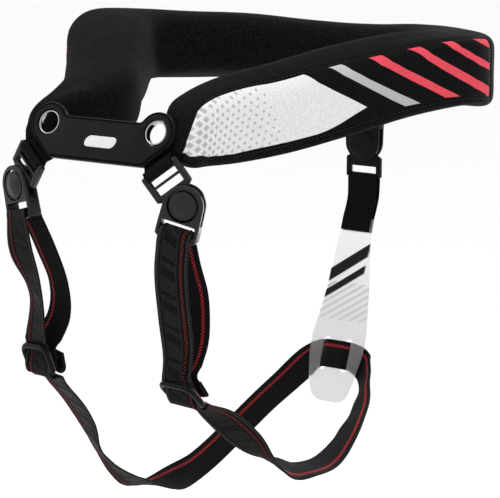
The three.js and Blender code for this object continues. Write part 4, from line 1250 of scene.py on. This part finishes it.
def turned_with(rows, slider, near=8.0, far=24.0, reach=11.0):
    """Strap rows close to a slider turn with it, spread a little in it and hang evenly beyond it."""
    seat, turn = hung(slider)
    centre, seated = np.array(slider["at"], float), np.array(seat.translation)
    away = np.linalg.norm(rows["line"] - centre, axis=1)
    share = 1 - smooth_step(away, near, far)
    rows["spread"] = rows["spread"] + SLIDER["spread"] * share
    for k, part in enumerate(share):
        moves, faces = (np.array(Quaternion(turn.axis, turn.angle * part * much).to_matrix())
                        for much in (1, 0.5))
        rows["line"][k] = centre + moves @ (rows["line"][k] - centre) + (seated - centre) * part
        for way in ("across", "out"):
            rows[way][k] = faces @ rows[way][k]
    relaxed(rows, np.interp(away, (9, 15, 45, 60), (0, 1, 1, 0)), reach)


def round_loop(name, path, radius, steps, matrix):
    """A round bar bent along a closed flat path."""
    path = np.asarray(path, float)
    run = unit(np.roll(path, -1, axis=0) - np.roll(path, 1, axis=0))
    aside = np.column_stack([run[:, 1], -run[:, 0]])
    lines = [np.column_stack([path + aside * radius * math.cos(a), np.full(len(path), radius * math.sin(a))])
             for a in np.linspace(0, 2 * math.pi, steps, endpoint=False)]
    points = np.stack(lines, 1).reshape(-1, 3)
    return place_mesh(name, moved_by(points, matrix), ring_faces(len(path), steps))


for side, slider in SLIDERS.items():
    bar = SLIDER["bar"]
    path = even_steps(np.array(rounded_box(SLIDER["width"] - bar, SLIDER["height"] - bar,
                                           SLIDER["corner"] - bar / 2, 0, 0, 10)), 140)
    loop = round_loop(f"slider_loop_{side}", path, bar / 2, 20, hung(slider)[0])
    stands_for(loop, "buckle", f"slider_{side}", finish=dull_black_painted_shade)

# Loop straps: woven charcoal webbing that goes through the buckle's head and the slider and doubles back on
# itself. A rope of red thread runs inside one edge, dull on the outer face and bright on the inner.
STRAP_WIDTH = 19
RED_PLACE, RED_WIDTH = 5.5, 3.3
STRAP_RIBS = (0.8, 1.3, 0.12)  # along, across and deep
MOTIF_PITCH = 19.0
INNER_DARK, INNER_LIGHT = (0.004, 0.004, 0.0042), (0.013, 0.013, 0.0135)
OUTER_DARK, OUTER_LIGHT = (0.0065, 0.0065, 0.0067), (0.050, 0.050, 0.051)
MOTIF_BLACK, BED_BLACK, EDGE_GREY = (0.0035, 0.0035, 0.0037), (0.003, 0.003, 0.0032), (0.050, 0.049, 0.048)
strap_inner = woven("strap_inner", INNER_DARK, INNER_LIGHT, *STRAP_RIBS)[0]
strap_outer, shader, shade = woven("strap_outer", OUTER_DARK, OUTER_LIGHT, *STRAP_RIBS)


def band(tree, value, centre, inner, outer):
    """One up to a distance from a place, and nought past a slightly larger one."""
    away = sum_of(tree, "ABSOLUTE", sum_of(tree, "SUBTRACT", value, centre))
    return ramp(tree, away, inner, outer, 1.0, 0.0)


tree = strap_outer.node_tree
along, across = flat_map(tree, "weave")
slanted = sum_of(tree, "MULTIPLY_ADD", across, 0.55, along)
beat = sum_of(tree, "FRACT", sum_of(tree, "DIVIDE", slanted, MOTIF_PITCH))
bars = sum_of(tree, "MAXIMUM", band(tree, beat, 0.35, 0.13, 0.15), band(tree, beat, 0.72, 0.05, 0.065))
motif = sum_of(tree, "MULTIPLY", bars, band(tree, across, -1.6, 3.9, 4.2))
# The ground is darker in the rib hollows: painted shade.
ground = colour_between(tree, shade, OUTER_DARK, OUTER_LIGHT)
ground = colour_between(tree, motif, ground, MOTIF_BLACK)
piping = band(tree, across, -6.7, 0.4, 0.55)
rope_bed = band(tree, across, RED_PLACE, 2.1, 2.3)
ground = colour_between(tree, sum_of(tree, "MAXIMUM", piping, rope_bed), ground, BED_BLACK)
edge_line = band(tree, sum_of(tree, "ABSOLUTE", across), 8.3, 0.22, 0.32)
dotted = sum_of(tree, "MULTIPLY", edge_line, ramp(tree, wave(tree, along, 1.5), 0.45, 0.6))
tree.links.new(colour_between(tree, dotted, ground, EDGE_GREY), shader.inputs["Base Color"])
tree.links.new(ramp(tree, motif, 0.0, 1.0, 0.78, 0.5), shader.inputs["Roughness"])
dull_red = thread_finish("dull_red_thread", (0.105, 0.008, 0.011))
bright_red = thread_finish("bright_red_thread", (0.40, 0.016, 0.022))


def red_rope(name, rows, finish, face):
    """Slanted red strokes side by side along one face of a strap."""
    line = rows["line"] + rows["across"] * RED_PLACE + rows["out"] * face * 0.5
    return stitched(name, [(line, rows["out"] * face)], finish, 2.0, RED_WIDTH * 1.2, 1.0, 0.7, 40 * face)


def trimmed_strap(rows, node, kind, end=""):
    """A charcoal strap with a red rope on each face."""
    strap = webbing(f"{kind}_webbing{end}", rows, STRAP_WIDTH, strap_outer, strap_inner)
    stands_for(strap, "webbing", node)
    for face, side, thread in (("outer", 1, dull_red), ("inner", -1, bright_red)):
        stands_for(red_rope(f"{kind}_red_{face}{end}", rows, thread, side), "webbing")


def twisted(rows, front, back, top, bottom):
    """Turns the layers of a hanging strap about the upright: the front one a little back again lower down."""
    share = np.clip((top - rows["line"][:, 2]) / (top - bottom), 0, 1)
    there_and_back = np.sin(2 * np.pi * share) * np.where(share < 0.5, 1, 0.3)
    degrees = np.where(rows["out"][:, 1] < 0, front * there_and_back, back * np.sin(np.pi * share))
    turn = np.radians(degrees)
    for way in ("across", "out"):
        x, y, z = rows[way].T
        rows[way] = np.column_stack([x * np.cos(turn) - y * np.sin(turn),
                                     x * np.sin(turn) + y * np.cos(turn), z])


def eased(rows, level, reach, front, back):
    """Moves the layers of a hanging strap aside round a height."""
    share = np.exp(-((rows["line"][:, 2] - level) / reach) ** 2)[:, None]
    nearer = (rows["out"][:, 1] < 0)[:, None]
    rows["line"] = rows["line"] + share * np.where(nearer, np.array(front), np.array(back))


def folded_end(rows, end, lead, radius, tail):
    """A strap's free end turned over on itself, so that it can't slip through the slider."""
    line, across, out = (rows[way][end] for way in ("line", "across", "out"))
    run = unit(line - rows["line"][1 if end == 0 else -2])
    turn = np.concatenate([np.zeros(4), np.linspace(0, np.pi, 10)[1:], np.full(4, np.pi)])[:, None]
    reach = np.concatenate([np.linspace(0, lead, 5)[1:], np.full(9, lead),
                            lead - np.linspace(0, tail, 5)[1:]])
    bend = radius * (run * np.sin(turn) + out * (1 - np.cos(turn)))
    fold = {"line": line + run * reach[:, None] + bend, "out": out * np.cos(turn) - run * np.sin(turn),
            "across": np.tile(across, (len(turn), 1)), "spread": np.ones(len(turn))}
    for way, values in fold.items():
        rows[way] = np.concatenate([values[::-1], rows[way]] if end == 0 else [rows[way], values])
    rows["along"] = distance_along(rows["line"])


LOOPS = {  # the free end's fold, the edge that shows near a place, and how the layers turn and ease apart
    "left": {"free": (-1, 7, 1.3, 8), "near": (57, -160, -100), "edge": (1, 0, 0), "twist": (0, 0),
             "ease": [(-95, 24, (0, 0, 0), (1.5, 1.0, 0))]},
    "right": {"free": (0, 6.5, 3.4, 8), "near": (-52, -160, -100), "edge": (-1, 0, 0), "twist": (17, 14),
              "ease": [(-74, 14, (-1.2, -0.8, 0), (0, 0, 0)), (-110, 16, (0.6, 0.4, 0), (0, 0, 0))]},
}
LOOP_HEIGHTS = (-58, -138)  # where the layers' turn begins and ends
for side, loop in LOOPS.items():
    rows = strap_rows(f"loop_strap_{side}", loop["near"], loop["edge"], (0, -1, 0))
    twisted(rows, *loop["twist"], *LOOP_HEIGHTS)
    for level, reach, front, back in loop["ease"]:
        eased(rows, level, reach, front, back)
    turned_with(rows, SLIDERS[side])
    folded_end(rows, *loop["free"])
    trimmed_strap(rows, f"loop_strap_{side}", "loop", f"_{side}")

# Long strap: one length of the same webbing from slider to slider, under both arms and through the slots of
# the blade on the back.
SLOTS_APART = {"solid": 11.5, "drawn": 8.4, "beyond": 30}


def rolled(rows, place, reach, degrees):
    """Turns a strap about its own run, most at a place along it."""
    turn = np.radians(degrees * np.exp(-((rows["along"] - place) / reach) ** 2))[:, None]
    across, out = rows["across"], rows["out"]
    rows["across"] = across * np.cos(turn) + out * np.sin(turn)
    rows["out"] = out * np.cos(turn) - across * np.sin(turn)


rows = strap_rows("long_strap", (57, -156, -165), (1, 0, 0), (0, -1, 0))
at_back = np.clip((rows["line"][:, 1] - 40) / 25, 0, 1)
relaxed(rows, at_back * np.clip((np.abs(rows["line"][:, 0]) - 18) / 8, 0, 1), 6.0)
x = rows["line"][:, 0]
drawn_in = np.interp(np.abs(x), (0, SLOTS_APART["solid"], SLOTS_APART["beyond"], 400),
                     (0, SLOTS_APART["drawn"], SLOTS_APART["beyond"], 400)) * np.sign(x)
rows["line"][:, 0] = np.where(rows["line"][:, 1] > 40, drawn_in, x)
for slider in SLIDERS.values():
    turned_with(rows, slider)
rolled(rows, 158, 28, 15)
rows["along"] = distance_along(rows["line"])
trimmed_strap(rows, "long_strap", "long")

# Rear straps: wider black webbing. A tab sewn to the back of the pad holds the buckle's head, and a second
# piece goes round the frame's bar and is fixed to the blade.
REAR_WIDTH = 22
for node, name in (("rear_tab", "rear_tab_webbing"), ("rear_strap", "rear_strap_webbing")):
    low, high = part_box(node)
    rows = strap_rows(node, ((low + high) / 2) / MM, (1, 0, 0), (0, 1, 0), 1.0)
    if node == "rear_tab":
        for k, (place, out) in enumerate(zip(rows["line"], rows["out"])):
            _, spot, normal, _ = collar_cover.closest_point_on_mesh(Vector(place * MM))
            level, lift = (-18, 0.7) if out[1] > 0 else (-24, -0.6)  # the outer layer and the inner one
            seat = np.array(spot) / MM + np.array(normal) * lift
            rows["line"][k] = place + (seat - place) * smooth_step(place[2], level, level + 10)
    strap = webbing(name, rows, REAR_WIDTH, ribbed_webbing, ribbed_webbing)
    stands_for(strap, "webbing", node)

# Back blade: a thin springy sheet of milky plastic, wider in the middle, with two upright slots for the long
# strap and plain slanted bars printed on it.
BLADE_ROWS = [(136.4, -101, 12), (130.5, -115.3, 13), (123.1, -147.9, 16.3), (116.8, -165.4, 18.8),
              (111.7, -178.3, 20.6), (107.2, -190, 20.2), (102.6, -201.5, 18), (99.2, -211.5, 15.6),
              (98.1, -216.3, 13.6), (97.5, -219, 10.6), (97.25, -220.4, 7.0)]
BLADE_SECTION = [(0, 0), (0.12, 0.36), (0.4, 0.65), (0.85, 0.8)]  # in from the edge, half thickness
BLADE_SLOTS = {"offset": 8.4, "width": 4.6, "height": 22.5, "row": 5}
blade_rows = np.array(BLADE_ROWS)
blade_at = np.linspace(0, 1, 91)
blade_edge = curve_through(blade_rows[:, [2, 0, 1]], blade_at)
blade_half = blade_edge[:, 0]
blade_line = blade_edge * (0, 1, 1)
blade_along = distance_along(blade_line)
blade_run = unit(np.gradient(blade_line, blade_along, axis=0))
blade_out = np.cross((1, 0, 0), blade_run)
points = []
inner_shares = np.linspace(-1, 1, 15)[1:-1]
for line, half, out in zip(blade_line, blade_half, blade_out):
    front = [(-half + inset, w) for inset, w in BLADE_SECTION]
    front += [((half - BLADE_SECTION[-1][0]) * s, BLADE_SECTION[-1][1]) for s in inner_shares]
    front += [(half - inset, w) for inset, w in BLADE_SECTION[::-1]]
    section = front + [(x, -w) for x, w in front[-2:0:-1]]
    points += [line + np.array((x, 0, 0)) + out * w for x, w in section]
flat = list(zip(np.array(points)[:, 0], np.repeat(blade_along, len(section))))
blade = swept("back_blade_sheet", points, len(blade_line), flat, "sheet")
row = BLADE_SLOTS["row"]
up = Vector((0, *(blade_rows[row - 1, :2] - blade_rows[row + 1, :2]))).normalized()
out = Vector((1, 0, 0)).cross(up)
slots = []
for side in (-1, 1):
    seat = Matrix(((1, 0, 0, side * BLADE_SLOTS["offset"]), (0, up.y, out.y, blade_rows[row, 0]),
                   (0, up.z, out.z, blade_rows[row, 1]), (0, 0, 0, 1)))
    slot = rounded_box(BLADE_SLOTS["width"], BLADE_SLOTS["height"], 1.6)
    slots.append(outline_solid("slot", slot, [], 16, 0.2, seat, 1))
cut_away(blade, *slots)
CLEAR_TOP, CLEAR_FOOT = (0.96, 0.96, 0.965), (0.76, 0.76, 0.765)
DULL_TOP, DULL_FOOT = (0.91, 0.91, 0.915), (0.68, 0.68, 0.685)
STRIPE_GREY, BAR_BLACK = (0.56, 0.56, 0.58), (0.013, 0.013, 0.014)
milky, shader = finish_of("milky_plastic", (0.86, 0.86, 0.87), 0.42,
                          {"Transmission Weight": 0.88, "IOR": 1.16, "Specular IOR Level": 0.4})
tree = milky.node_tree
across, along = flat_map(tree, "sheet")
haze = uneven(tree, 90.0, 4.0, 0.6)
lower = ramp(tree, along, 5, 75)
clear = colour_between(tree, lower, CLEAR_TOP, CLEAR_FOOT)
dull = colour_between(tree, lower, DULL_TOP, DULL_FOOT)
sheet = colour_between(tree, haze, clear, dull)
lean = sum_of(tree, "MULTIPLY_ADD", across, 0.7, along)
stripe = ramp(tree, wave(tree, lean, 5.2), 0.62, 0.70)
low_part = sum_of(tree, "MULTIPLY", ramp(tree, along, 44, 45), ramp(tree, along, 70, 71, 1.0, 0.0))
sheet = colour_between(tree, sum_of(tree, "MULTIPLY", stripe, low_part), sheet, STRIPE_GREY)
bar_ends = band(tree, sum_of(tree, "MULTIPLY_ADD", along, 0.12, across), 0.0, 15.2, 15.4)
for centre, half_width in ((30.0, 4.2), (42.0, 2.6)):
    bar = band(tree, lean, centre, half_width - 0.1, half_width + 0.1)
    sheet = colour_between(tree, sum_of(tree, "MULTIPLY", bar, bar_ends), sheet, BAR_BLACK)
tree.links.new(sheet, shader.inputs["Base Color"])
tree.links.new(ramp(tree, haze, 0.3, 0.7, 0.36, 0.5), shader.inputs["Roughness"])
relief(tree, shader, haze, 0.05, 0.2)
stands_for(blade, "blade", "back_blade", finish=milky)
